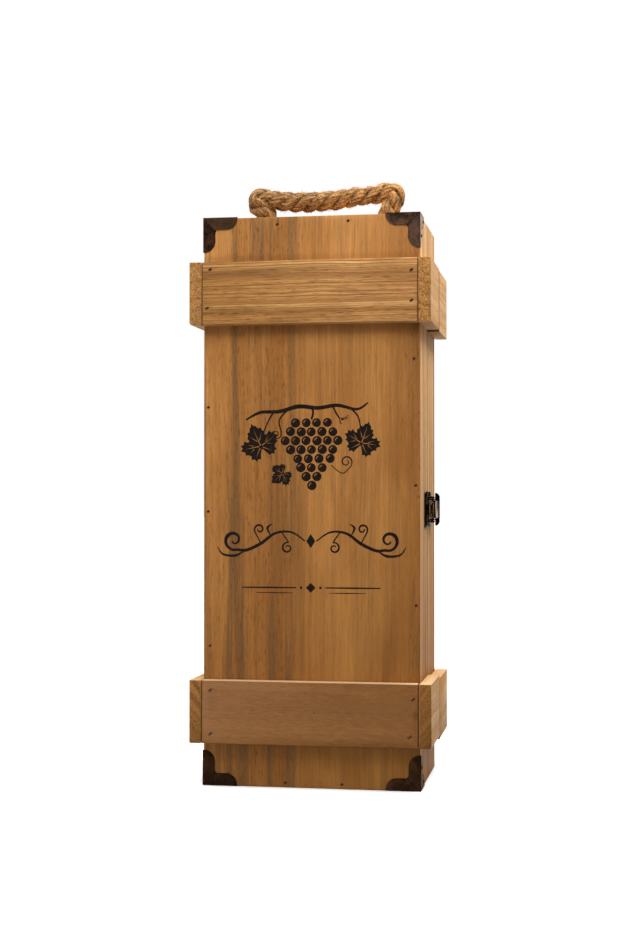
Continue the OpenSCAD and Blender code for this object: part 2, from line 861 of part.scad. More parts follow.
back_panel();
base_left_side();
base_right_side();
base_top_board();
base_bottom_board();
rear_upper_batten();
rear_lower_batten();
base_left_upper_batten();
base_right_upper_batten();
base_left_lower_batten();
base_right_lower_batten();
back_panel_brads();
base_frame_brads();
base_batten_brads();
hinge_base_leaves();
hinge_pins();
hinge_base_tacks();
latch_base_plate();
latch_base_tacks();
latch_rivets();
front_panel();
lid_left_side();
lid_right_side();
lid_top_board();
lid_bottom_board();
front_upper_batten();
front_lower_batten();
lid_left_upper_batten();
lid_right_upper_batten();
lid_left_lower_batten();
lid_right_lower_batten();
front_panel_brads();
lid_frame_brads();
lid_batten_brads();
upper_left_bracket();
upper_right_bracket();
lower_left_bracket();
lower_right_bracket();
bracket_tacks();
hinge_lid_leaves();
hinge_lid_tacks();
catch_plate();
catch_tacks();
latch_lever();
latch_link();
handle_rope();
rope_knots();
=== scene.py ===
import bpy
import bmesh
import json
import math
import random
from functools import partial
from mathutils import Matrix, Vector, noise

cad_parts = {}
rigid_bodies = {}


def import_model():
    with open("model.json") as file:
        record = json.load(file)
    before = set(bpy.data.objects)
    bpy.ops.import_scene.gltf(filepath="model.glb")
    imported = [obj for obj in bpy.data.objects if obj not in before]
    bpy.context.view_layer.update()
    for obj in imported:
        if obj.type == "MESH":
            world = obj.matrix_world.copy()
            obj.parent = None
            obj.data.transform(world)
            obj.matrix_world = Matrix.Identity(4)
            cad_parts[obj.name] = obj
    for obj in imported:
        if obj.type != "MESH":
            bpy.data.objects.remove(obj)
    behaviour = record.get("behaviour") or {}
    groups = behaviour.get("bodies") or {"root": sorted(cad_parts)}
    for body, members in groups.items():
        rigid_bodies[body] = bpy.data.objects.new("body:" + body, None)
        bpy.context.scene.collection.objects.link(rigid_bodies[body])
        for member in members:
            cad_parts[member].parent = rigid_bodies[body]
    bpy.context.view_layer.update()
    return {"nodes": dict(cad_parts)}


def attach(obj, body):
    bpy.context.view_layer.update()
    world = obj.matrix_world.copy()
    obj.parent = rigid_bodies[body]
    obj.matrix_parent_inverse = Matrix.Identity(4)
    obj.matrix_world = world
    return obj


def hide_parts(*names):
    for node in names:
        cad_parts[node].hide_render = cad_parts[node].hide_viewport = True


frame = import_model()
nodes = frame["nodes"]
mm = 0.001
print("frame loaded:", len(nodes), "nodes")

# what the pieces share, in mm: half the width, the height, the faces of the front panel and of
# the front battens, the seam and the middle of the latch
box = {"half": 67, "top": 350, "front": -47.0, "battenFront": -54.6, "seam": -1.0, "latch": 169.5}
millimetres = (1000, 1000, 1000)      # from the metres of Object coordinates

# the camera stands where the photograph was taken from
viewpoint = {
    "place": (0.1678, -1.0259, 0.1783), "turn": (91.065, 0.0, 9.735), "lens": 62.75, "sensor": 36.0,
    "near": 0.05, "far": 60.0,
}
bpy.ops.object.camera_add(
    location=viewpoint["place"], rotation=[math.radians(a) for a in viewpoint["turn"]]
)
camera = bpy.context.object
camera.name = "camera"
camera.data.lens = viewpoint["lens"]
camera.data.sensor_width = viewpoint["sensor"]
camera.data.clip_start, camera.data.clip_end = viewpoint["near"], viewpoint["far"]
bpy.context.scene.camera = camera
print("camera set")


def deselectAll():
    if bpy.context.object and bpy.context.object.mode != "OBJECT":
        bpy.ops.object.mode_set(mode="OBJECT")
    for o in bpy.data.objects:
        o.select_set(False)


def makeActive(obj):
    deselectAll()
    obj.select_set(True)
    bpy.context.view_layer.objects.active = obj


def joinPieces(parts, name):
    makeActive(parts[0])
    for p in parts[1:]:
        p.select_set(True)
    if len(parts) > 1:
        bpy.ops.object.join()
    whole = bpy.context.object
    whole.name = whole.data.name = name
    return whole


def settle(obj):
    # place, turn and scale go into the mesh
    makeActive(obj)
    bpy.ops.object.transform_apply(location=True, rotation=True, scale=True)


def meshPiece(name, points, faces):
    mesh = bpy.data.meshes.new(name)
    mesh.from_pydata([tuple(p) for p in points], [], faces)
    obj = bpy.data.objects.new(name, mesh)
    bpy.context.scene.collection.objects.link(obj)
    return obj


def colour(code):
    # sRGB hex to linear
    parts = [int(code[i:i + 2], 16) / 255 for i in (0, 2, 4)]
    return [p / 12.92 if p <= 0.04045 else ((p + 0.055) / 1.055) ** 2.4 for p in parts] + [1.0]


def feed(socket, value):
    # the value is a number, a colour, a socket, or a node that gives its first output
    if isinstance(value, bpy.types.Node):
        value = next(output for output in value.outputs if output.enabled)
    if isinstance(value, bpy.types.NodeSocket):
        socket.id_data.links.new(value, socket)
    else:
        socket.default_value = value


def addNode(tree, kind, *values, **settings):
    # the values go to the inputs in turn, or to those that a dictionary names
    node = tree.nodes.new("ShaderNode" + kind)
    for key, value in settings.items():
        setattr(node, key, value)
    named = values[0] if values and isinstance(values[0], dict) else {}
    for key, value in named.items():
        feed(node.inputs[key], value)
    inTurn = [socket for socket in node.inputs if socket.enabled]
    for socket, value in zip(inTurn, () if named else values):
        feed(socket, value)
    return node


def startMaterial(name):
    material = bpy.data.materials.new(name)
    material.use_nodes = True
    material.node_tree.nodes.clear()
    add = partial(addNode, material.node_tree)
    shader = add("BsdfPrincipled")
    add("OutputMaterial", {"Surface": shader})
    return material, add, shader.inputs


def blotches(add, vector, factors, detail=2.0, roughness=0.5):
    # uneven patches, with their size along each axis as its factor's inverse
    place = add("VectorMath", vector, factors, operation="MULTIPLY")
    return add("TexNoise", place, 1.0, detail, roughness)      # the scale is in the place already


def dress(names, material):
    for name in names:
        for place in nodes[name].material_slots:
            place.material = material


# three strands laid round the route's line, all in mm
rope = {
    "diameter": 10.4, "span": 81.0, "depth": 19.6, "boxTop": box["top"], "knotTop": -17.3,
    "length": 178.5,        # between its knots, along the route
    "lay": 27.0,            # length of one turn of a strand
    "strandRadius": 3.2, "strandOut": 2.65, "shag": 0.17, "grit": 0.34,
    "yarns": 8, "yarnRise": 0.22, "yarnLay": 38.0,
    "ringStep": 0.6, "sides": 32,
    "swell": (0.1, 0.03),   # how much fuller the rope gets in its left and its right bend
    "bendFullness": 9,      # radius of a bend that is as full as it gets
    "slack": 0.13,          # how much looser its legs are, above the box
    "slackFrom": 6, "slackTo": 24,                 # heights above the box
    "wobble": 0.2, "wobbleRate": 0.11,             # how unevenly the strands lie, and how fast that changes
}
# x from the hole's middle and height above the box, near the line of the part's own tube, but with
# the sharper left bend that a tube can't take
routeLeft = [
    (0, 0), (0, 4.5), (0.2, 8.4), (0, 11.8), (-1.4, 15), (-3.8, 18), (-6.1, 20.6), (-6.9, 22.6),
    (-5.6, 24), (-3, 24.3), (0.6, 23.9), (4.6, 22.9), (10, 21.9), (18.5, 20.9), (32.5, 20.8),
]
routeRight = [
    (-34.5, 21.6), (-22.5, 23.2), (-12.5, 23.9), (-6.5, 24.7), (-2.4, 25.8), (0.8, 26.1), (3.3, 25),
    (4.1, 22.6), (3.3, 19.9), (1.6, 17.4), (0.3, 14.8), (-0.3, 12), (-0.3, 8.8), (0, 5), (0, 0),
]


def ropeRoute():
    half, low = rope["span"] / 2, rope["knotTop"]
    flat = [(-half, low), (-half, low / 2)]
    flat += [(x - half, z) for x, z in routeLeft] + [(x + half, z) for x, z in routeRight]
    flat += [(half, low / 2), (half, low)]
    return [Vector((x, rope["depth"], rope["boxTop"] + z)) for x, z in flat]


def smoothLine(points, steps):
    line = []
    last = len(points) - 1
    for i in range(last):
        a, b, c, d = (points[max(0, min(last, i + k))] for k in (-1, 0, 1, 2))
        for s in range(steps):
            t = s / steps
            line.append(0.5 * (2 * b + (c - a) * t + (2 * a - 5 * b + 4 * c - d) * t * t
                               + (3 * b - a - 3 * c + d) * t * t * t))
    return line + [points[last]]


def evenLine(points, step):
    lengths = [0.0]
    for a, b in zip(points, points[1:]):
        lengths.append(lengths[-1] + (b - a).length)
    count = max(4, round(lengths[-1] / step))
    out, k = [], 0
    for i in range(count + 1):
        s = lengths[-1] * i / count
        while k < len(lengths) - 2 and lengths[k + 1] < s:
            k += 1
        t = (s - lengths[k]) / max(1e-9, lengths[k + 1] - lengths[k])
        out.append(points[k].lerp(points[k + 1], t))
    return out, lengths[-1]


firstSide = Vector((0, 1, 0.013))      # a little off the axes, so it is never along the rope


def frames(line, side):
    # tangents and side vectors carried along the line without twist
    tangents, sides = [], []
    for i in range(len(line)):
        t = (line[min(i + 1, len(line) - 1)] - line[max(i - 1, 0)]).normalized()
        side = (side - t * side.dot(t)).normalized()
        tangents.append(t)
        sides.append(side.copy())
    return tangents, sides


def laidRope(name, points, r, seed=0, thin=1.0):
    # each strand is a lobed tube that winds round the line, with its yarns twisted the other way
    line, total = evenLine(points, r["ringStep"])
    tangents, sides = frames(line, firstSide)
    step = total / (len(line) - 1)
    verts, faces, uvs, outward, depth = [], [], [], [], []
    for strand in range(3):
        middle = []
        for i, p in enumerate(line):
            s = i * step
            bend = 0.0
            if 0 < i < len(line) - 1:
                bend = tangents[i - 1].angle(tangents[i + 1], 0.0) / (2 * step)
            height = p.z - r["boxTop"]
            loose = r["slack"] * max(
                0.0, min(1.0, (height - r["slackFrom"]) / 5, (r["slackTo"] - height) / 4))
            full = (1 + r["swell"][p.x > 0] * min(1.0, bend * r["bendFullness"]) + loose) * thin
            turn = -2 * math.pi * (s / r["lay"] + strand / 3)
            wobble = 1 + r["wobble"] * noise.noise(Vector((s * r["wobbleRate"], strand * 7.1, seed)))
            around = sides[i] * math.cos(turn) + tangents[i].cross(sides[i]) * math.sin(turn)
            middle.append((p + around * r["strandOut"] * full * wobble, full, around))
        own = [m[0] for m in middle]
        ownTangents, ownSides = frames(own, firstSide)
        first = len(verts)
        for i, (centre, full, around) in enumerate(middle):
            s = i * step
            t, u = ownTangents[i], ownSides[i]
            v = t.cross(u)
            for k in range(r["sides"]):
                a = 2 * math.pi * k / r["sides"]
                yarn = a - 2 * math.pi * s / r["yarnLay"]
                lobe = abs(math.sin(r["yarns"] / 2 * yarn)) ** 0.7 - 0.6
                shag = noise.noise(
                    Vector((math.cos(a) * 1.6 + strand * 9, math.sin(a) * 1.6, s * 0.35 + seed)))
                grit = noise.noise(Vector((math.cos(a) * 5 + seed, math.sin(a) * 5 + strand * 5, s * 1.3)))
                radius = r["strandRadius"] * full * (1 + r["shag"] * shag)
                radius += r["yarnRise"] * lobe + r["grit"] * grit
                direction = u * math.cos(a) + v * math.sin(a)
                verts.append(centre + direction * radius)
                outward.append((centre, direction, t, around, radius))
                depth.append((verts[-1] - line[i]).length / (r["strandOut"] + r["strandRadius"]) / full)
        rings = len(middle)
        for i in range(rings - 1):
            for k in range(r["sides"]):
                a = first + i * r["sides"] + k
                b = first + i * r["sides"] + (k + 1) % r["sides"]
                faces.append((a, b, b + r["sides"], a + r["sides"]))
                uvs.append([
                    ((kk / r["sides"] - (i + ii) * step / r["yarnLay"]) * 17 + strand * 40, (i + ii) * step)
                    for kk, ii in ((k, 0), (k + 1, 0), (k + 1, 1), (k, 1))
                ])
        faces.append(tuple(first + k for k in reversed(range(r["sides"]))))
        uvs.append([(0, 0)] * r["sides"])
        faces.append(tuple(first + (rings - 1) * r["sides"] + k for k in range(r["sides"])))
        uvs.append([(0, total)] * r["sides"])
    obj = meshPiece(name, [v * mm for v in verts], faces)
    # the depth attribute drives the painted crevice shade in the rope's material
    obj.data.attributes.new("depth", "FLOAT", "POINT").data.foreach_set("value", depth)
    layer = obj.data.uv_layers.new(name="lay")
    for polygon, corners in zip(obj.data.polygons, uvs):
        for loop, uv in zip(polygon.loop_indices, corners):
            layer.data[loop].uv = (uv[0] * 0.01, uv[1] * 0.01)
    for polygon in obj.data.polygons:
        polygon.use_smooth = len(polygon.vertices) == 4
    return obj, line, outward


# hairs that lift out of the strands, in mm, thicker than real jute hairs so that they show
hair = {"thick": (0.06, 0.13), "thinning": 0.75, "rooted": 0.25, "curl": 0.35, "steps": 4, "sides": 3}


def looseFibres(name, outward, count, longest, seed, spread=0.55, ceiling=1000.0):
    rng = random.Random(seed)
    verts, faces = [], []
    made = 0
    while made < count:
        centre, direction, along, around, radius = outward[rng.randrange(len(outward))]
        if direction.dot(around) < 0.15:      # only the strands' outer faces
            continue
        made += 1
        length = longest * (0.25 + 0.75 * rng.random() ** 1.8)
        lean = along * rng.choice((-1, 1)) * rng.uniform(0.5, 1.5) + Vector(
            (rng.gauss(0, spread), rng.gauss(0, spread), rng.gauss(0, spread)))
        heading = (direction * rng.uniform(0.35, 1.0) + lean * 0.7).normalized()
        curl = Vector((rng.gauss(0, 1), rng.gauss(0, 1), rng.gauss(0, 1) - 0.2)) * hair["curl"]
        point = centre + direction * (radius - hair["rooted"])
        thick = rng.uniform(*hair["thick"])
        steps, sides = hair["steps"], hair["sides"]
        base = len(verts)
        for i in range(steps + 1):
            side = heading.orthogonal().normalized()
            other = heading.cross(side)
            size = thick * (1 - hair["thinning"] * i / steps)
            for k in range(sides):
                a = 2 * math.pi * k / sides
                verts.append((point + (side * math.cos(a) + other * math.sin(a)) * size) * mm)
            point = point + heading * (length / steps)
            point.z = min(point.z, ceiling)
            heading = (heading + curl * 0.5).normalized()
        for i in range(steps):
            for k in range(sides):
                a, b = base + i * sides + k, base + i * sides + (k + 1) % sides
                faces.append((a, b, b + sides, a + sides))
        tip = base + steps * sides
        faces.append(tuple(base + k for k in reversed(range(sides))))
        faces.append(tuple(tip + k for k in range(sides)))
    fuzz = meshPiece(name, verts, faces)
    # loose hairs get no painted crevice shade
    fuzz.data.attributes.new("depth", "FLOAT", "POINT").data.foreach_set("value", [1.0] * len(verts))
    return fuzz


handleRope, ropeLine, ropeSkin = laidRope("jute_rope", smoothLine(ropeRoute(), 8), rope)
handleFuzz = joinPieces([
    looseFibres("long_hair", ropeSkin, 700, 5.0, 11),
    looseFibres("short_hair", ropeSkin, 6700, 2.4, 17, 0.8),
], "rope_fibres")
print("rope laid:", len(handleRope.data.polygons), "faces")

# overhand knot: the rope's own end goes through the knot, and its turn lies round it
knot = dict(
    rope, ringStep=0.7, sides=22, lay=20.0, strandRadius=2.2, strandOut=2.0, swell=(0.0, 0.0), slack=0.0,
    height=15.0, turns=1.55, radius=7.3, start=-60, rise=6.2, core=(7.4, 3, -2, -8, -16.5), tail=-14.5,
)
knotMiddle = rope["boxTop"] + rope["knotTop"] - knot["height"] / 2


def knotTurn():
    line = []
    last = 28
    for i in range(last + 1):
        t = i / last
        a = math.radians(knot["start"]) + 2 * math.pi * knot["turns"] * t
        pull = min(1.0, 5.5 * t + 0.3, 5.5 * (1 - t) + 0.3)      # both ends tuck into the knot
        out = knot["radius"] * pull
        line.append(Vector((math.cos(a) * out, math.sin(a) * out, knot["rise"] * (0.5 - t))))
    return smoothLine(line, 3)


knotX = -rope["span"] / 2
centre = Vector((knotX, rope["depth"], knotMiddle))
core, _, coreSkin = laidRope(
    "knot_core", [centre + Vector((0, 0, z)) for z in knot["core"]], knot, 3, 1.06)
turn, _, turnSkin = laidRope("knot_turn", [centre + p for p in knotTurn()], knot, 5, 0.92)
tailSkin = [s for s in coreSkin if s[0].z < centre.z + knot["tail"]]
underBoard = rope["boxTop"] + rope["knotTop"] - 0.3        # no hair of the knot reaches into the board
knotHair = looseFibres("knot_hair", turnSkin + coreSkin, 420, 4.0, 23, ceiling=underBoard)
tailHair = looseFibres("tail_hair", tailSkin, 160, 4.5, 29, 0.9)
knotLeft = joinPieces([core, turn, knotHair, tailHair], "knot_left")
makeActive(knotLeft)
bpy.ops.object.duplicate()
knotRight = bpy.context.object
knotRight.name = knotRight.data.name = "knot_right"
knotRight.location.x = rope["span"] * mm
settle(knotRight)
print("knots tied")

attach(handleRope, "handle")
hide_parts("handle_rope")
for piece in (handleFuzz, knotLeft, knotRight):
    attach(piece, "handle")
for piece in (knotLeft, knotRight):
    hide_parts("rope_knots")

# Jute: dry bast fibre in twisted yarns, matt, golden where it is clean and brown where it is worn, with
# painted shade in the grooves between its yarns and strands
jute = {"clean": "c58a49", "worn": "64391a", "grooveShade": "271407", "pale": "dfb47a"}


def juteMaterial(name, j, loose=False):
    material, add, shader = startMaterial(name)
    coords = add("TexCoord")
    place = add("VectorMath", coords.outputs["Object"], millimetres, operation="MULTIPLY")
    worn = blotches(add, place, (0.12, 0.12, 0.16), 3.0, 0.65)
    # painted shade: the left half is darker, away from the light; the legs are darker towards the box
    across = add("SeparateXYZ", place).outputs
    worn = add("Math", worn, add("MapRange", across["X"], -40, 45, 0.18, -0.13), operation="ADD")
    worn = add("Math", worn, add("MapRange", across["Z"], 374, 364, 0.0, 0.14), operation="ADD")
    tone = add(
        "Mix", add("MapRange", worn, 0.42, 0.58), colour(j["clean"]), colour(j["worn"]),
        data_type="RGBA")
    if loose:
        shade = add("MapRange", blotches(add, place, (0.5, 0.5, 0.5)), 0.35, 0.65)
        base = add("Mix", shade, tone, colour(j["pale"]), data_type="RGBA")
        feed(shader["Base Color"], base)
    else:
        # mm across the yarns and along them
        lay = add("VectorMath", coords.outputs["UV"], (100, 100, 100), operation="MULTIPLY")
        fibres = blotches(add, lay, (3.6, 0.22, 1), 3.0, 0.65)
        coarse = blotches(add, lay, (1.1, 0.12, 1), 2.0, 0.6)
        wave = add("SeparateXYZ", lay).outputs["X"]
        yarn = add(
            "Math",
            add("Math", add("Math", wave, math.pi * 7 / 17, operation="MULTIPLY"), operation="SINE"),
            operation="ABSOLUTE")
        # painted shade in the grooves between the yarns
        grooveShade = add("MapRange", yarn, 0.0, 0.6, 0.5, 0.0)
        grit = blotches(add, place, (0.8, 0.8, 0.8), 5.0, 0.8)
        base = add("Mix", add("MapRange", fibres, 0.35, 0.68), tone, colour(j["pale"]), data_type="RGBA")
        base = add(
            "Mix", add("MapRange", coarse, 0.46, 0.62, 0.0, 0.85), base, colour(j["worn"]),
            data_type="RGBA")
        # dark specks of grit, in the colour of the painted groove shade
        base = add(
            "Mix", add("MapRange", grit, 0.49, 0.62, 0.0, 0.8), base, colour(j["grooveShade"]),
            data_type="RGBA")
        base = add("Mix", grooveShade, base, colour(j["grooveShade"]), data_type="RGBA")
        # painted shade in the crevices between the strands: darker where the skin lies nearer the rope's
        # line
        strandCreviceShade = add("MapRange", add("Attribute", attribute_name="depth").outputs["Fac"], 0.95, 0.7)
        base = add("Mix", strandCreviceShade, base, colour(j["grooveShade"]), data_type="RGBA")
        feed(shader["Base Color"], base)
        height = add(
            "Math", add("Math", fibres, 0.6, operation="MULTIPLY"),
            add("Math", yarn, 0.5, operation="MULTIPLY"), operation="ADD")
        bump = add("Bump", {"Height": height, "Strength": 0.8, "Distance": 0.0004})
        feed(shader["Normal"], bump.outputs["Normal"])
    shader["Roughness"].default_value = 0.9
    shader["Specular IOR Level"].default_value = 0.12
    shader["Sheen Weight"].default_value = 0.1
    shader["Sheen Roughness"].default_value = 0.5
    shader["Sheen Tint"].default_value = colour("c8935a")
    return material


juteRope = juteMaterial("jute_rope", jute)
juteHair = juteMaterial("jute_fibre", jute, loose=True)
handleRope.data.materials.append(juteRope)
handleFuzz.data.materials.append(juteHair)
for piece in (knotLeft, knotRight):
    piece.data.materials.append(juteRope)

# Paulownia: light hardwood, sawn thin and planed, stained warm brown. Its rings show as soft
# stripes, its large pores as short dark dashes along the grain, and as dots on the ends
board = {
    "grain": "z", "offset": (0, 0, 0), "pith": (40, 260), "taper": 0.03,
    "ring": 9.0, "lines": 2.2, "lineDepth": 0.3,         # mm between soft stripes and between fine ones
    "wander": 6.0, "streak": 13.0, "greyness": 0.75, "greyFrom": -400, "greyTo": 400,
    "fibreWide": 0.9, "fibreLong": 45.0, "fibre": 0.2,
    "poreWide": 0.75, "poreLong": 5.0, "pores": 0.6,     # drawn coarser than the real 0.2 mm
    "ends": 0.9, "speckle": 1.1, "arcs": 0.4, "endRing": 3.4, "rough": 0.62,
    "marks": (), "darkeningRamps": (), "edges": (), "face": box["front"],
    "stainAndShadeDeep": 1000,                                   # mm behind the face that the stains and painted shade reach
    "gloss": 0.12,
    "bump": 0.00014, "paintedTopLight": 0.0, "bands": (),
    "light": "cb8e4d", "dark": "a3662d", "grey": "7f5a36", "warm": "a0662f", "pore": "4c290f",
    "endLight": "bd8544", "endDark": "6f4219",
}


def woodMaterial(name, w):
    material, add, shader = startMaterial(name)
    coords = add("TexCoord")
    turn = {"z": (0, 0, 0), "x": (0, math.radians(-90), 0), "y": (math.radians(90), 0, 0)}[w["grain"]]
    still = add(
        "Mapping",
        {"Vector": coords.outputs["Object"], "Scale": millimetres, "Rotation": turn,
         "Location": w["offset"]},
    ).outputs["Vector"]                       # millimetres, with the grain along Z
    slow = add("VectorMath", still, (0.02, 0.02, 0.006), operation="MULTIPLY")
    drift = add("TexNoise", slow, 1.0, 3.0).outputs["Color"]
    drift = add("VectorMath", drift, (0.5, 0.5, 0.5), operation="SUBTRACT")
    drift = add("VectorMath", drift, (w["wander"], w["wander"], 0), operation="MULTIPLY")
    place = add("VectorMath", still, drift, operation="ADD")
    # growth rings about a pith outside the board
    fromPith = add("VectorMath", place, (w["pith"][0], w["pith"][1], 0), operation="SUBTRACT")
    fromPith = add("VectorMath", fromPith, (1, 1, w["taper"]), operation="MULTIPLY")
    ringR = add("VectorMath", fromPith, operation="LENGTH")
    rings, lines = (
        add("TexNoise", add("Math", ringR, wide, operation="DIVIDE"), 1.0, 3.0, 0.6, noise_dimensions="1D")
        for wide in (w["ring"], w["lines"]))
    streaks = blotches(add, place, (1 / w["streak"], 1 / w["streak"], 0.0035), 3.0, 0.6)
    fibres = blotches(add, place, (1 / w["fibreWide"], 1 / w["fibreWide"], 1 / w["fibreLong"]), 3.0, 0.6)
    pores = blotches(add, place, (1 / w["poreWide"], 1 / w["poreWide"], 1 / w["poreLong"]), 2.0, 0.5)
    patches = blotches(add, place, (0.03, 0.03, 0.012), 2.0, 0.6)
    base = add(
        "Mix", add("MapRange", rings, 0.32, 0.66), colour(w["light"]), colour(w["dark"]),
        data_type="RGBA")
    across = add("SeparateXYZ", coords.outputs["Object"]).outputs
    greySide = add("MapRange", across["X"], w["greyFrom"] * mm, w["greyTo"] * mm, 1.0, 0.25)
    greyMask = add(
        "Math", add("MapRange", streaks, 0.49, 0.6, 0.0, w["greyness"]), greySide, operation="MULTIPLY")
    base = add("Mix", greyMask, base, colour(w["grey"]), data_type="RGBA")
    base = add(
        "Mix", add("MapRange", patches, 0.5, 0.7, 0.0, 0.5), base, colour(w["warm"]), data_type="RGBA")
    base = add(
        "Mix", add("MapRange", lines, 0.5, 0.68, 0.0, w["lineDepth"]), base, colour(w["warm"]),
        data_type="RGBA")
    fibreTone = add("MapRange", fibres, 0.3, 0.7, 1 - w["fibre"], 1 + w["fibre"] * 0.6)
    base = add("VectorMath", base, fibreTone, operation="SCALE")
    stainAndShadeEnd = w["face"] + w["stainAndShadeDeep"]
    outer = add("MapRange", across["Y"], stainAndShadeEnd * mm, (stainAndShadeEnd - 1) * mm)
    for axis, clean, fullTintAt, tint in w["darkeningRamps"]:
        # darker towards one end or side; on the boards most of these ramps are painted shade, darker
        # towards the bottom
        reach = add(
            "Math", outer, add("MapRange", across[axis], clean * mm, fullTintAt * mm), operation="MULTIPLY")
        base = add(
            "Mix", reach, base,
            add("Mix", 1.0, base, colour(tint), data_type="RGBA", blend_type="MULTIPLY"),
            data_type="RGBA")
    poreMask = add("MapRange", pores, 0.55, 0.7)
    crowd = add("MapRange", rings, 0.3, 0.6, 0.3, 1.0)         # pores crowd in the early wood
    poreMask = add("Math", poreMask, crowd, operation="MULTIPLY")
    base = add(
        "Mix", add("Math", poreMask, w["pores"], operation="MULTIPLY"), base, colour(w["pore"]),
        data_type="RGBA")
    # the ends are darker, as they soaked up more stain, and speckled by the open pores
    alongGrain = {"z": "Z", "x": "X", "y": "Y"}[w["grain"]]
    facing = add("SeparateXYZ", coords.outputs["Normal"]).outputs[alongGrain]
    endMask = add("MapRange", add("Math", facing, operation="ABSOLUTE"), 0.6, 0.9, 0.0, w["ends"])
    speckle = blotches(add, still, (1 / w["speckle"], 1 / w["speckle"], 0.3), 3.0, 0.7)
    arcs = add("Math", ringR, w["endRing"], operation="DIVIDE")
    arcs = add("TexNoise", arcs, 1.0, 1.0, noise_dimensions="1D")
    speckle = add("Math", speckle, add("Math", arcs, w["arcs"], operation="MULTIPLY"), operation="ADD")
    half = w["arcs"] * 0.5
    endTone = add(
        "Mix", add("MapRange", speckle, 0.36 + half, 0.66 + half), colour(w["endLight"]),
        colour(w["endDark"]), data_type="RGBA")
    base = add("Mix", endMask, base, endTone, data_type="RGBA")
    # painted highlight: faces turned upwards are paler, as if lit from above
    upward = add("SeparateXYZ", coords.outputs["Normal"]).outputs["Z"]
    base = add(
        "Mix", add("MapRange", upward, 0.5, 0.9, 0.0, w["paintedTopLight"]), base, colour("e9c595"),
        data_type="RGBA")
    sway = add("SeparateXYZ", drift).outputs["X"]
    for axis, middle, reach, strong in w["bands"]:
        # a band of darker late wood
        swayed = add("Math", add("Math", across[axis], 1000.0, operation="MULTIPLY"), sway, operation="ADD")
        away = add("Math", add("Math", swayed, middle, operation="SUBTRACT"), operation="ABSOLUTE")
        strength = add(
            "Math", add("MapRange", away, reach, 0.0, 0.0, strong), add("MapRange", fibres, 0.4, 0.6),
            operation="MULTIPLY")
        base = add("Mix", strength, base, colour(w["warm"]), data_type="RGBA")
    for axis, middle, reach, strong in w["edges"]:
        # darker along edges and joints: stain held at the joints, stain and painted shade of the gap at the
        # seam, and on the front panel a painted shadow under the upper batten
        away = add(
            "Math", add("Math", across[axis], middle * mm, operation="SUBTRACT"), operation="ABSOLUTE")
        heldStainAndShade = add(
            "Math", outer, add("MapRange", away, reach * mm, reach * 0.3 * mm, 0.0, strong),
            operation="MULTIPLY")
        base = add("Mix", heldStainAndShade, base, colour(w["pore"]), data_type="RGBA")
    for x, z, size, strong in w["marks"]:
        # stained nail holes and small dents, by their place on the face in mm
        spot = (x * mm, w["face"] * mm, z * mm)
        away = add("VectorMath", coords.outputs["Object"], spot, operation="DISTANCE")
        base = add(
            "Mix", add("MapRange", away, size * mm, size * 0.6 * mm, 0.0, strong), base,
            colour(w["pore"]), data_type="RGBA")
    feed(shader["Base Color"], base)
    height = add("Math", add("Math", fibres, 0.6, operation="MULTIPLY"), poreMask, operation="SUBTRACT")
    bump = add("Bump", {"Height": height, "Strength": 0.6, "Distance": w["bump"]})
    feed(shader["Normal"], bump.outputs["Normal"])
    rough = add("MapRange", fibres, 0.3, 0.7, w["rough"] - 0.06, w["rough"] + 0.08)
    feed(shader["Roughness"], rough)
    shader["Specular IOR Level"].default_value = w["gloss"]
    return material


# a board's edges are eased by hand with sandpaper: a copy of the CAD board gets small rounds
def easedBoard(name, ease, corners=(), shortest=4.0):
    mesh = nodes[name].data.copy()
    piece = bpy.data.objects.new(name + "_eased", mesh)
    bpy.context.scene.collection.objects.link(piece)
    makeActive(piece)
    bpy.ops.object.mode_set(mode="EDIT")
    bpy.ops.mesh.select_mode(type="EDGE")
    bpy.ops.mesh.select_all(action="SELECT")
    bpy.ops.mesh.remove_doubles(threshold=0.000005)
    bpy.ops.mesh.dissolve_limited(angle_limit=math.radians(0.5))
    for reach, wide in list(corners) + [(None, ease)]:
        bpy.ops.mesh.select_all(action="DESELECT")
        shape = bmesh.from_edit_mesh(mesh)
        found = 0
        for edge in shape.edges:
            if len(edge.link_faces) != 2 or edge.calc_length() < shortest * mm:
                continue
            if edge.calc_face_angle(0.0) < math.radians(50):
                continue
            middle = (edge.verts[0].co + edge.verts[1].co) / 2
            if reach and not all(lo <= c / mm <= hi for c, (lo, hi) in zip(middle, reach)):
                continue
            edge.select_set(True)
            found += 1
        bmesh.update_edit_mesh(mesh)
        if found:
            bpy.ops.mesh.bevel(
                offset=wide * mm, segments=3 if reach else 2, affect="EDGES", clamp_overlap=True)
    bpy.ops.object.mode_set(mode="OBJECT")
    bpy.ops.object.shade_smooth_by_angle(angle=math.radians(35))
    return piece


nailSpots = {
    "panel": [(-20.9, 345.4), (23.2, 346.4), (-15.7, 2.7), (19.2, 2.7), (-64.3, 232.9), (-64.3, 168.5),
              (-63.1, 85.7), (64.5, 184.5), (64.7, 111.8)],
    "upper": [(-61.5, 317.4), (-63.3, 293.6), (62.8, 314.3), (62.8, 296)],
    "lower": [(-61.1, 59.3), (-61.1, 32.6), (63.6, 56), (61.5, 33.4)],
}
# each stain runs a little way beside its nail
stained = {
    key: tuple((x + k * lean, z + k * lean * 0.7, 1.0, 0.9) for x, z in spots for k in (-1, 1))
    for (key, spots), lean in zip(nailSpots.items(), (0.2, 0.45, 0.75))
}
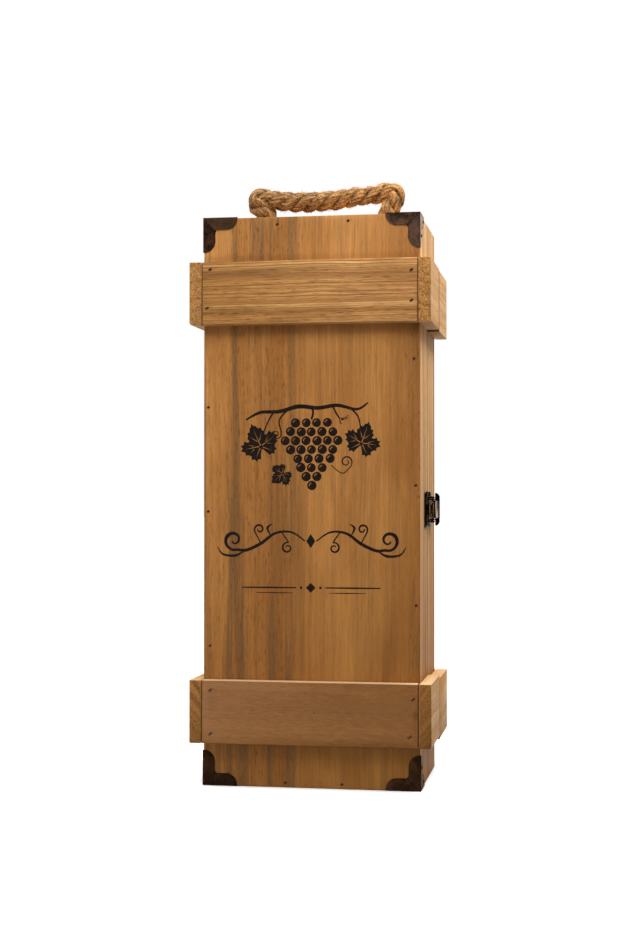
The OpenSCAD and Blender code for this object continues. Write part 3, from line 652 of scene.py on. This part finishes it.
# the side boards are darker towards the bottom: painted shade
paleBoard = dict(
    board, light="ddb484", dark="c4935c", grey="ab8253", warm="c38c50", pore="70461f", ring=5.0, lines=1.8,
    greyness=0.4, darkeningRamps=(("Z", 260, 40, "bb9d60"),), gloss=0.06, endLight="c79250", endDark="6c4119",
)
upperEnds = dict(
    paleBoard, grain="y", ring=5.0, lines=2.4, lineDepth=0.15, endLight="ca914d", endDark="673c14",
    speckle=0.95, arcs=0.2, darkeningRamps=(),
)
# the lower side battens are darkened by painted shade, and their tops get a painted highlight
lowerEnds = dict(
    upperEnds, endLight="95632f", endDark="4f2d10", speckle=0.8, arcs=0.36, greyness=0.7,
    darkeningRamps=(("Z", 200, 60, "e6dcc4"),), paintedTopLight=0.5,
)


def battenEnds(strong):
    # the stain that gathered where the front battens meet the side ones
    return tuple(("X", side * (box["half"] - 0.1), 1.0, strong) for side in (-1, 1))


boards = {
    "front_panel": dict(
        board, offset=(11, 3, 40), greyFrom=-22, greyTo=12, lines=1.9, lineDepth=0.3, streak=6.5,
        greyness=0.9, fibre=0.2, fibreWide=1.3, fibreLong=36.0, light="cc9151", dark="9d6731",
        # painted shadow under the upper batten's lower edge; painted shade darker towards the bottom and
        # below the upper batten; also darker towards the right
        grey="7e5a35", pores=0.5, edges=(("Z", 283, 5, 0.3),), stainAndShadeDeep=3,
        darkeningRamps=(("Z", 230, 60, "dad6c6"), ("X", -20, 55, "ebe7e0"), ("Z", 300, 270, "efebe4")),
        marks=stained["panel"] + (
            (66.4, 177.7, 1.0, 0.5), (-51.5, 7.7, 0.9, 0.95),
            (63.5, 261.4, 1.5, 0.45), (63.5, 261.4, 0.7, 0.6))),
    "front_upper_batten": dict(
        board, grain="x", offset=(30, -14, 7), pith=(10, 90), ring=7.0, lines=0.9, lineDepth=0.8,
        streak=5.0, greyness=0.8, fibre=0.36, fibreWide=0.65, fibreLong=17.0,
        pores=0.7, poreWide=0.6, poreLong=7.0,
        wander=9.0, face=box["battenFront"], light="e2ab6b", dark="b27a42", warm="8b5a2e", grey="866039",
        marks=stained["upper"], greyFrom=-60, greyTo=50,
        bands=(("Z", 313.0, 3.0, 0.95), ("Z", 297.0, 2.2, 0.7)), darkeningRamps=(("X", 25, -45, "dfdac9"),),
        edges=battenEnds(0.8)),
    "front_lower_batten": dict(
        board, grain="x", offset=(-70, 60, 33), pith=(30, 300), ring=16.0, fibre=0.22, fibreWide=1.0,
        fibreLong=5.0, lineDepth=0.2, pores=0.25, greyness=0.2, light="895a2b", dark="7a4e23",
        # a painted highlight on its top face
        warm="70461c", face=box["battenFront"], rough=0.5, paintedTopLight=0.65, gloss=0.2, edges=battenEnds(0.9),
        marks=stained["lower"] + (
            (65.6, 46.2, 3.0, 0.45), (3.5, 46.8, 0.75, 0.7), (-57.4, 59, 0.7, 0.5), (-54.2, 58.6, 0.6, 0.4),
        )),
    "back_panel": dict(board, offset=(90, -60, 15), pith=(-30, -240)),
    "rear_upper_batten": dict(board, grain="x", offset=(55, 22, -40), pith=(10, -130), ring=7.0, lines=1.8),
    "rear_lower_batten": dict(board, grain="x", offset=(-15, 77, 21), pith=(25, -160), ring=8.0),
}
# along the seam the side boards' edges are darker: stain on them, and painted shade of the gap
for index, name in enumerate(("lid_left_side", "lid_right_side", "base_left_side", "base_right_side")):
    boards[name] = dict(
        paleBoard, offset=(37 * index, 19 * index, 53 * index), pith=(200 + 30 * index, 20),
        edges=(("Y", box["seam"], 2.6, 0.85),))
# along the seam: stain, and painted shade of the gap
for index, name in enumerate(("lid_top_board", "lid_bottom_board", "base_top_board", "base_bottom_board")):
    boards[name] = dict(
        paleBoard, grain="x", offset=(17 * index, 43 * index, 29 * index), pith=(170, 40 * index),
        darkeningRamps=(), edges=(("Y", box["seam"], 1.7, 0.6),))
# along the seam: stain, and painted shade of the gap
for half, shift in (("lid", 0), ("base", 90)):
    for index, (part, look) in enumerate((
        ("left_upper", upperEnds), ("right_upper", upperEnds), ("left_lower", lowerEnds),
        ("right_lower", lowerEnds),
    )):
        boards[f"{half}_{part}_batten"] = dict(
            look, offset=(23 * index + shift, 61 * index, 37 * index),
            pith=(30 - 7 * index, 26 + 5 * index),
            edges=(("Y", box["seam"], 3.2, 0.95 if part.endswith("upper") else 0.35),))
boards["lid_left_upper_batten"].update(endLight="ba854b")

eases = {"panel": 0.35, "batten": 0.7, "side": 0.5, "board": 0.5}
oneOff = {
    # the sawn lower corners of the two upper battens are broken off a little
    "lid_left_upper_batten": [(((-76, -73), (-60, 60), (282, 284)), 1.8)],
    "lid_right_upper_batten": [(((73, 76), (-60, 60), (282, 284)), 1.0)],
}
for name, look in boards.items():
    finish = woodMaterial("paulownia_" + name, look)
    dress([name], finish)
    piece = easedBoard(name, eases[name.split("_")[-1]], oneOff.get(name, ()))
    piece.data.materials.clear()
    piece.data.materials.append(finish)
    body = "lid" if name.startswith(("lid", "front")) else "base"
    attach(piece, body)
    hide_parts(name)
print("boards eased:", len(boards))

# Steel with an antique bronze finish: dark brown lacquer rubbed thin, with reddish patina. Each
# bracket has a crease along its mitre, and its two legs get two tones, partly the finish and partly painted
# light and shade
bronze = {
    "along": "33251b", "up": "1f150e", "rubbed": "4f3d2e", "patina": "5c3826", "redness": 0.3, "rough": 0.4,
    "metal": 0.5, "corner": (-box["half"], box["top"]),
    "flankReflectionTone": "87725d", "flankReflection": 0.6,          # painted reflection: side faces paler, mirroring the bright room
}


def bronzeMaterial(name, b):
    material, add, shader = startMaterial(name)
    coords = add("TexCoord").outputs["Object"]
    place = add("VectorMath", coords, millimetres, operation="MULTIPLY")
    cloud = blotches(add, place, (0.16, 0.16, 0.16), 4.0, 0.6)
    speckle = blotches(add, place, (0.8, 0.8, 0.8), 3.0, 0.7)
    across = add("SeparateXYZ", place).outputs
    fromX, fromZ = (
        add("Math", add("Math", across[axis], corner, operation="SUBTRACT"), operation="ABSOLUTE")
        for axis, corner in zip("XZ", b["corner"]))
    mitre = add("Math", fromZ, fromX, operation="SUBTRACT")             # above zero on the upright leg
    # the legs' two tones: partly the finish, partly painted light and shade, as light falls differently on
    # each leg
    base = add(
        "Mix", add("MapRange", mitre, -0.15, 0.15), colour(b["along"]), colour(b["up"]),
        data_type="RGBA")
    base = add(
        "Mix", add("MapRange", speckle, 0.45, 0.75, 0.0, 0.6), base, colour(b["rubbed"]),
        data_type="RGBA")
    base = add(
        "Mix", add("MapRange", cloud, 0.46, 0.6, 0.0, b["redness"]), base, colour(b["patina"]),
        data_type="RGBA")
    # painted reflection: faces turned sideways are paler, as they mirror the bright room
    sideways = add("SeparateXYZ", add("TexCoord").outputs["Normal"]).outputs["X"]
    worn = add("MapRange", add("Math", sideways, operation="ABSOLUTE"), 0.7, 0.95, 0.0, b["flankReflection"])
    worn = add("Math", worn, add("MapRange", speckle, 0.3, 0.55, 0.5, 1.0), operation="MULTIPLY")
    base = add("Mix", worn, base, colour(b["flankReflectionTone"]), data_type="RGBA")
    # painted shade: a dark line along the mitre crease
    crease = add("MapRange", add("Math", mitre, operation="ABSOLUTE"), 0.5, 0.1)
    base = add(
        "Mix", add("Math", crease, 0.6, operation="MULTIPLY"), base, colour("120b07"), data_type="RGBA")
    feed(shader["Base Color"], base)
    shader["Metallic"].default_value = b["metal"]
    feed(shader["Roughness"], add("MapRange", cloud, 0.3, 0.7, b["rough"] - 0.08, b["rough"] + 0.12))
    height = add("Math", add("Math", speckle, 0.25, operation="MULTIPLY"), crease, operation="SUBTRACT")
    bump = add("Bump", {"Height": height, "Strength": 0.5, "Distance": 0.0002})
    feed(shader["Normal"], bump.outputs["Normal"])
    shader["Specular IOR Level"].default_value = 0.0
    shader["Specular Tint"].default_value = colour("8a6a50")
    return material


brackets = {
    "upper_left_bracket": dict(bronze, along="38281b", up="1b110a"),
    "upper_right_bracket": dict(
        bronze, corner=(box["half"], box["top"]), along="2a1e16", up="372d27", rubbed="54463e",
        # a strong painted reflection on its side flange
        patina="5c4132", redness=0.8, flankReflectionTone="c9b49c", flankReflection=0.95),
    "lower_left_bracket": dict(
        bronze, corner=(-box["half"], 0), along="190f08", up="1c120a", rubbed="281b12", redness=0.1),
    "lower_right_bracket": dict(
        bronze, corner=(box["half"], 0), along="20130a", up="23160c", rubbed="2e1f15", redness=0.2),
}


def easedMetal(name, body, ease, finish):
    dress([name], finish)
    piece = easedBoard(name, ease, shortest=0.05)
    piece.data.materials.clear()
    piece.data.materials.append(finish)
    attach(piece, body)
    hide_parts(name)


for name, look in brackets.items():
    easedMetal(name, "lid", 0.2, bronzeMaterial("antique_bronze_" + name, look))
farOff = (0, 1000)                                            # the hinges have no mitre
# a faint painted reflection on the hinges' side faces
hingeBronze = bronzeMaterial("antique_bronze_hinge", dict(bronze, metal=0.7, corner=farOff, flankReflection=0.15))
easedMetal("hinge_base_leaves", "base", 0.15, hingeBronze)
easedMetal("hinge_lid_leaves", "lid", 0.15, hingeBronze)
dress(["hinge_pins"], hingeBronze)

# Black nickel plate: smooth, glossy and nearly black, with a painted highlight across the lever where
# fingers lift it
blackNickel = {
    "tone": "17110c", "worn": "33281f", "rough": 0.24, "edge": "4a3c30", "bright": "94877a",
    "rubbed": (), "rimHighlight": ()}


def nickelMaterial(name, b):
    material, add, shader = startMaterial(name)
    place = add("VectorMath", add("TexCoord").outputs["Object"], millimetres, operation="MULTIPLY")
    cloud = blotches(add, place, (0.35, 0.35, 0.35), 3.0, 0.6)
    tone = add(
        "Mix", add("MapRange", cloud, 0.45, 0.7), colour(b["tone"]), colour(b["worn"]), data_type="RGBA")
    edge = colour(b["edge"])
    if b["rubbed"]:
        # painted highlight: a bright band across the lever's end, with a paler specular tint, where it
        # catches the light
        middle, reach, outside = b["rubbed"]
        across = add("SeparateXYZ", place).outputs
        away = add("Math", add("Math", across["Z"], middle, operation="SUBTRACT"), operation="ABSOLUTE")
        rubbed = add(
            "Math", add("MapRange", away, reach + 0.5, reach - 0.5),
            add("MapRange", across["X"], outside - 0.3, outside + 0.3), operation="MULTIPLY")
        rubbed = add(
            "Math", rubbed, add("MapRange", across["X"], outside + 1.9, outside + 1.5, 0.15, 1.0),
            operation="MULTIPLY")
        tone = add("Mix", rubbed, tone, colour(b["bright"]), data_type="RGBA")
        edge = add("Mix", rubbed, edge, colour("d8cdbf"), data_type="RGBA")
    feed(shader["Specular Tint"], edge)
    if b["rimHighlight"]:
        # painted highlight along the plates' top and bottom ends, where their edges catch the light
        middle, reach = b["rimHighlight"]
        height = add("SeparateXYZ", place).outputs["Z"]
        away = add("Math", add("Math", height, middle, operation="SUBTRACT"), operation="ABSOLUTE")
        tone = add(
            "Mix", add("MapRange", away, reach, reach + 0.3), tone, colour(b["bright"]),
            data_type="RGBA")
    feed(shader["Base Color"], tone)
    shader["Metallic"].default_value = 1.0
    feed(shader["Roughness"], add("MapRange", cloud, 0.3, 0.7, b["rough"] - 0.04, b["rough"] + 0.08))
    bump = add("Bump", {"Height": cloud, "Strength": 0.25, "Distance": 0.0003})
    feed(shader["Normal"], bump.outputs["Normal"])
    return material


nickel = nickelMaterial("black_nickel", blackNickel)
# painted highlights: along the plates' top and bottom ends, and in a band across the lever's end
plateNickel = nickelMaterial("black_nickel_plate", dict(blackNickel, rimHighlight=(box["latch"], 10.7)))
leverNickel = nickelMaterial("black_nickel_lever", dict(blackNickel, rubbed=(box["latch"], 5.4, 70.4)))
wireNickel = nickelMaterial(
    "black_nickel_wire", dict(blackNickel, tone="54412c", worn="7a6248", edge="8a7358", rough=0.18))
for name, body, finish in (
    ("latch_base_plate", "base", plateNickel), ("catch_plate", "lid", plateNickel),
    ("latch_lever", "lever", leverNickel),
):
    easedMetal(name, body, 0.3, finish)
dress(["latch_rivets"], nickel)
dress(["latch_link"], wireNickel)

# Bright steel brads gone dull brown in the stain
dullSteel = {"tone": "1c110a", "bright": "3a281b", "rough": 0.5}


def steelMaterial(name, b):
    material, add, shader = startMaterial(name)
    place = add("VectorMath", add("TexCoord").outputs["Object"], millimetres, operation="MULTIPLY")
    cloud = blotches(add, place, (1.8, 1.8, 1.8), 2.0, 0.6)
    glint = add("MapRange", cloud, 0.5, 0.75)
    tone = add("Mix", glint, colour(b["tone"]), colour(b["bright"]), data_type="RGBA")
    feed(shader["Base Color"], tone)
    shader["Metallic"].default_value = 0.3
    shader["Specular IOR Level"].default_value = 0.1
    feed(shader["Roughness"], add("MapRange", cloud, 0.3, 0.7, b["rough"] - 0.1, b["rough"] + 0.15))
    return material


dress([n for n in nodes if n.endswith(("_brads", "_tacks"))], steelMaterial("dull_steel", dullSteel))
print("finishes: metal done")

# Screen-print ink: black, matt and thin, so the grain still shows in it. It prints a bunch of
# grapes, a scroll and a rule on the front, with their middles at these heights
ink = {"full": "090503", "thin": "2e1a0c", "proud": 0.03, "rough": 0.8}
prints = {"bunch": (-1.5, 206), "scroll": 150.5, "rule": 122, "grapePitch": 6.6, "grapeRow": 5.5}


def flatShape(name, outlines, proud):
    curve = bpy.data.curves.new(name, "CURVE")
    curve.dimensions = "2D"
    curve.fill_mode = "BOTH"
    curve.extrude = proud / 2 * mm
    for outline in outlines:
        spline = curve.splines.new("POLY")
        spline.points.add(len(outline) - 1)
        for point, (x, y) in zip(spline.points, outline):
            point.co = (x * mm, y * mm, 0, 1)
        spline.use_cyclic_u = True
    shape = bpy.data.objects.new(name, curve)
    bpy.context.scene.collection.objects.link(shape)
    makeActive(shape)
    bpy.ops.object.convert(target="MESH")
    return bpy.context.object


def penStroke(points, widths):
    line = smoothLine([Vector((x, y, 0)) for x, y in points], 6)
    left, right = [], []
    for i, p in enumerate(line):
        t = (line[min(i + 1, len(line) - 1)] - line[max(i - 1, 0)]).normalized()
        at = i / (len(line) - 1) * (len(widths) - 1)
        k = min(int(at), len(widths) - 2)
        half = (widths[k] + (widths[k + 1] - widths[k]) * (at - k)) / 2
        left.append((p.x - t.y * half, p.y + t.x * half))
        right.append((p.x + t.y * half, p.y - t.x * half))
    return left + right[::-1]


def spiral(x, y, start, outer, inner, turns, count=14):
    out = []
    for i in range(count + 1):
        t = i / count
        a = math.radians(start) + 2 * math.pi * turns * t
        r = outer + (inner - outer) * t
        out.append((x + math.cos(a) * r, y + math.sin(a) * r))
    return out


def turned(points, x, y, angle, size, mirror=1):
    c, n = math.cos(math.radians(angle)), math.sin(math.radians(angle))
    return [
        (x + size * (px * mirror * c - py * n), y + size * (px * mirror * n + py * c))
        for px, py in points
    ]


def arc(degrees, r, x=0.0, y=0.0):
    turns = [math.radians(d) for d in degrees]
    return [(r * math.cos(turn) + x, r * math.sin(turn) + y) for turn in turns]


def circle(x, y, r, count=22):
    return arc([360 * i / count for i in range(count)], r, x, y)


halfLeaf = [
    (0.03, -0.3), (0.14, -0.5), (0.24, -0.72), (0.36, -0.66), (0.46, -0.76), (0.52, -0.6), (0.66, -0.58),
    (0.6, -0.42), (0.7, -0.3), (0.84, -0.26), (0.8, -0.12), (0.98, 0.02), (0.84, 0.1), (0.88, 0.26),
    (0.72, 0.24), (0.66, 0.38), (0.5, 0.26), (0.4, 0.28), (0.46, 0.44), (0.36, 0.52), (0.36, 0.66),
    (0.22, 0.68), (0.14, 0.86), (0.07, 0.86), (0.0, 1.02),
]
leafOutline = halfLeaf + [(-x, y) for x, y in halfLeaf[-2::-1]]


def leafVein(x0, y0, x1, y1, wide):
    d = Vector((x1 - x0, y1 - y0)).normalized()
    return [(x0 - d.y * wide, y0 + d.x * wide), (x1, y1), (x0 + d.y * wide, y0 - d.x * wide)]


leafVeins = [leafVein(0, -0.12, 0, 0.78, 0.028)]
for side in (1, -1):
    leafVeins += [
        leafVein(0.07 * side, -0.13, 0.8 * side, 0.03, 0.026),
        leafVein(0.07 * side, -0.22, 0.46 * side, -0.6, 0.024),
        leafVein(0.06 * side, 0.12, 0.33 * side, 0.5, 0.02),
        leafVein(0.3 * side, -0.02, 0.62 * side, 0.2, 0.016),
        leafVein(0.34 * side, -0.14, 0.64 * side, -0.3, 0.016),
    ]
crescent = arc(range(95, 186, 15), 0.62) + arc(range(185, 94, -18), 0.4, -0.04, 0.04)


def ruled(x0, x1, y, ends, middle):
    return penStroke([(x0, y), ((x0 + x1) / 2, y), (x1, y)], [ends, middle, ends])


def ornament():
    shapes = []
    rows = [4, 5, 6, 5, 4, 3, 2, 1]
    rng = random.Random(7)
    for row, count in enumerate(rows):
        for k in range(count):
            x = 2.0 + (k - (count - 1) / 2) * prints["grapePitch"] + rng.uniform(-0.25, 0.25)
            x += 1.5 if row == 4 else 0
            y = 17.0 - row * prints["grapeRow"] + rng.uniform(-0.15, 0.15)
            r = rng.uniform(2.75, 2.95)
            shapes.append(("grape", [circle(x, y, r), turned(crescent, x, y, rng.uniform(-12, 12), r)]))
    shapes.append(("branch", [penStroke(
        [(-39, 19), (-30, 23.5), (-18, 24), (-6, 27), (6, 26), (18, 27.5), (30, 25), (37, 29)],
        [0.9, 1.9, 2.3, 2.6, 2.4, 2.2, 1.6, 0.8])]))
    shapes.append(("stem", [penStroke([(1, 27), (3, 24), (2, 19)], [1.6, 1.2, 1.4])]))
    leaf = [leafOutline] + leafVeins
    for x, y, angle, size, mirror in (
        (-30.5, 4.5, 24, 13.0, 1), (33.5, 6, -20, 12.0, -1), (-17, -15, 130, 8.0, 1),
    ):
        shapes.append(("leaf", [turned(part, x, y, angle, size, mirror) for part in leaf]))
    shapes.append(("stalk", [penStroke([(-22, 23.2), (-25, 18), (-29, 9)], [1.2, 0.9, 0.7])]))
    shapes.append(("stalk", [penStroke([(27, 25), (31, 20), (32.5, 12)], [1.2, 0.9, 0.7])]))
    for points, widths in (
        ([(15, 27), (20, 19), (24.5, 21)] + spiral(21.5, 18.2, 40, 3.0, 0.9, -1.2), [1.0, 0.7, 0.6, 0.4]),
        ([(-12, 25.5), (-18, 19), (-17, 12)] + spiral(-20, 10, 20, 3.2, 0.9, -1.3), [1.0, 0.7, 0.6, 0.4]),
        ([(14, -9), (21, -14), (26, -10)] + spiral(23.5, -7, -20, 3.6, 1.1, 1.25), [0.5, 0.9, 0.7, 0.4]),
    ):
        shapes.append(("tendril", [penStroke(points, widths)]))
    across, up = prints["bunch"]
    placed = [
        (kind, [[(x + across, y + up) for x, y in outline] for outline in outlines])
        for kind, outlines in shapes
    ]
    scroll = []
    for side in (1, -1):
        def way(points):
            return [(x * side, y) for x, y in points]
        scroll += [
            penStroke(
                way([(3.5, 0), (12, 5.4), (22, 4.8), (31, -1.5), (40, -5.6)]
                    + spiral(48, 0.5, -112, 6.4, 1.3, 1.25)),
                [0.7, 2.0, 1.5, 2.3, 1.6, 1.2, 0.8]),
            penStroke(
                way([(18, 5.2), (14, -0.5)] + spiral(14.5, -4.2, 80, 3.4, 1.0, -1.15)),
                [0.7, 1.2, 1.0, 0.7]),
            penStroke(
                way([(31, -1.5), (34, 4)] + spiral(32, 7.2, -30, 3.2, 0.9, 1.15)), [0.7, 1.3, 1.0, 0.7]),
            penStroke(way([(41, -5.8), (47, -9), (55, -8.2), (58.5, -3.5)]), [0.4, 1.7, 1.2, 0.3]),
            penStroke(way([(25, 3.4), (27, 8), (24, 10.5)]), [0.4, 1.6, 0.3]),
        ]
    scroll.append(turned([(0, 1), (0.62, 0), (0, -1), (-0.62, 0)], 0, 0, 0, 4.4))
    placed += [("scroll", [[(x, y + prints["scroll"]) for x, y in outline]]) for outline in scroll]
    diamond = turned([(0, 1), (1, 0), (0, -1), (-1, 0)], 0, 0, 0, 3.0)
    rule = [ruled(-43, -9, 0, 0.7, 1.0), ruled(9, 43, 0, 0.7, 1.0), diamond]
    rule += [circle(-6, 0, 0.8, 14), circle(6, 0, 0.8, 14)]
    rule += [ruled(-34, -11, -3.2, 0.3, 0.6), ruled(11, 34, -3.2, 0.3, 0.6)]
    placed += [("rule", [[(x, y + prints["rule"]) for x, y in outline]]) for outline in rule]
    return placed


# where two shapes cross, the later one lies a hair over the earlier one
layers = ["branch", "stem", "stalk", "tendril", "leaf", "grape", "scroll", "rule"]
shapes = ornament()
shapes.sort(key=lambda item: layers.index(item[0]))
printed = joinPieces([
    flatShape(kind, outlines, ink["proud"] * (1 + 0.25 * layers.index(kind) + 0.02 * (k % 8)))
    for k, (kind, outlines) in enumerate(shapes)], "printed_ornament")
printed.rotation_euler = (math.radians(90), 0, 0)
printed.location = (0, (box["front"] - 0.01) * mm, 0)
settle(printed)
inkMaterial, addInk, inkShader = startMaterial("screen_print_ink")
inkPlace = addInk("VectorMath", addInk("TexCoord").outputs["Object"], millimetres, operation="MULTIPLY")
# ink sits thinner on the hard grain lines
dry = blotches(addInk, inkPlace, (1.5, 1.5, 0.16), 3.0, 0.65)
inkTone = addInk(
    "Mix", addInk("MapRange", dry, 0.52, 0.7), colour(ink["full"]), colour(ink["thin"]), data_type="RGBA")
feed(inkShader["Base Color"], inkTone)
feed(inkShader["Roughness"], addInk("MapRange", dry, 0.3, 0.7, ink["rough"] - 0.1, ink["rough"] + 0.1))
inkShader["Specular IOR Level"].default_value = 0.1
printed.data.materials.clear()
printed.data.materials.append(inkMaterial)
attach(printed, "lid")
print("ornament printed:", len(printed.data.polygons), "faces")

# a white studio: three softboxes, a bright room and a white floor
studio = {
    "floor": "f4f3f1", "floorShade": "f2f1ef", "floorLight": 3.2,
    "floorWide": 24, "floorHeight": -0.0002,         # just under the box
    "front": 0.13, "behind": 0.40, "above": 0.9,     # brightness of the room round the box
    "key": {"place": (0.0, -0.50, 0.80), "aim": (0.02, -0.05, 0.24), "wide": 0.34, "power": 3.8},
    "side": {"place": (0.30, 0.06, 0.75), "aim": (0.06, 0.0, 0.24), "wide": 0.26, "power": 3.8},
    "low": {"place": (-0.30, -0.45, 0.05), "aim": (-0.04, -0.05, 0.02), "wide": 0.15, "power": 1.35},
}
deselectAll()
bpy.ops.mesh.primitive_plane_add(size=studio["floorWide"], location=(0, 0, studio["floorHeight"]))
floor = bpy.context.object
floor.name = "floor"
settle(floor)
floorMaterial, addFloor, floorShader = startMaterial("white_floor")
floorPlace = addFloor("TexCoord").outputs["Object"]
floorTone = addFloor(
    "Mix", blotches(addFloor, floorPlace, (3, 3, 3)), colour(studio["floorShade"]),
    colour(studio["floor"]), data_type="RGBA")
feed(floorShader["Base Color"], floorTone)
floorShader["Roughness"].default_value = 0.8
floor.data.materials.append(floorMaterial)


def softbox(name, light):
    bpy.ops.object.light_add(type="AREA", location=light["place"])
    lamp = bpy.context.object
    lamp.name = name
    lamp.data.shape = "SQUARE"
    lamp.data.size = light["wide"]
    lamp.data.energy = light["power"]
    lamp.rotation_euler = (
        Vector(light["aim"]) - Vector(light["place"])).to_track_quat("-Z", "Y").to_euler()
    return lamp


softbox("key_softbox", studio["key"])
softbox("side_softbox", studio["side"])
softbox("low_fill", studio["low"]).visible_camera = False

# the floor has a wide lamp of its own, so that it stays white round the box
bpy.ops.object.light_add(type="SUN", location=(0, 0, 2), rotation=(math.radians(-12), 0, 0))
floorLamp = bpy.context.object
floorLamp.name = "floor_lamp"
floorLamp.data.energy = studio["floorLight"]
floorLamp.data.angle = math.radians(80)
onlyFloor = bpy.data.collections.new("lit_by_floor_lamp")
onlyFloor.objects.link(floor)
floorLamp.light_linking.receiver_collection = onlyFloor
floor.visible_diffuse = False
world = bpy.data.worlds.new("white_studio")
bpy.context.scene.world = world
world.use_nodes = True
worldTree = world.node_tree
worldTree.nodes.clear()
addWorld = partial(addNode, worldTree)
seen = addWorld("LightPath").outputs["Is Camera Ray"]
skyward = addWorld("SeparateXYZ", addWorld("TexCoord").outputs["Generated"])
room = addWorld(
    "Math", addWorld("MapRange", skyward.outputs["Y"], -0.2, 0.6, studio["front"], studio["behind"]),
    addWorld("MapRange", skyward.outputs["Z"], 0.1, 0.8, 0.0, studio["above"]), operation="ADD")
glow = addWorld("Mix", seen, room, 1.0)               # the camera itself sees plain white
backdrop = addWorld("Background", (1, 1, 1, 1), glow)
addWorld("OutputWorld", {"Surface": backdrop})
bpy.context.scene.view_settings.view_transform = "Standard"
print("studio lit")
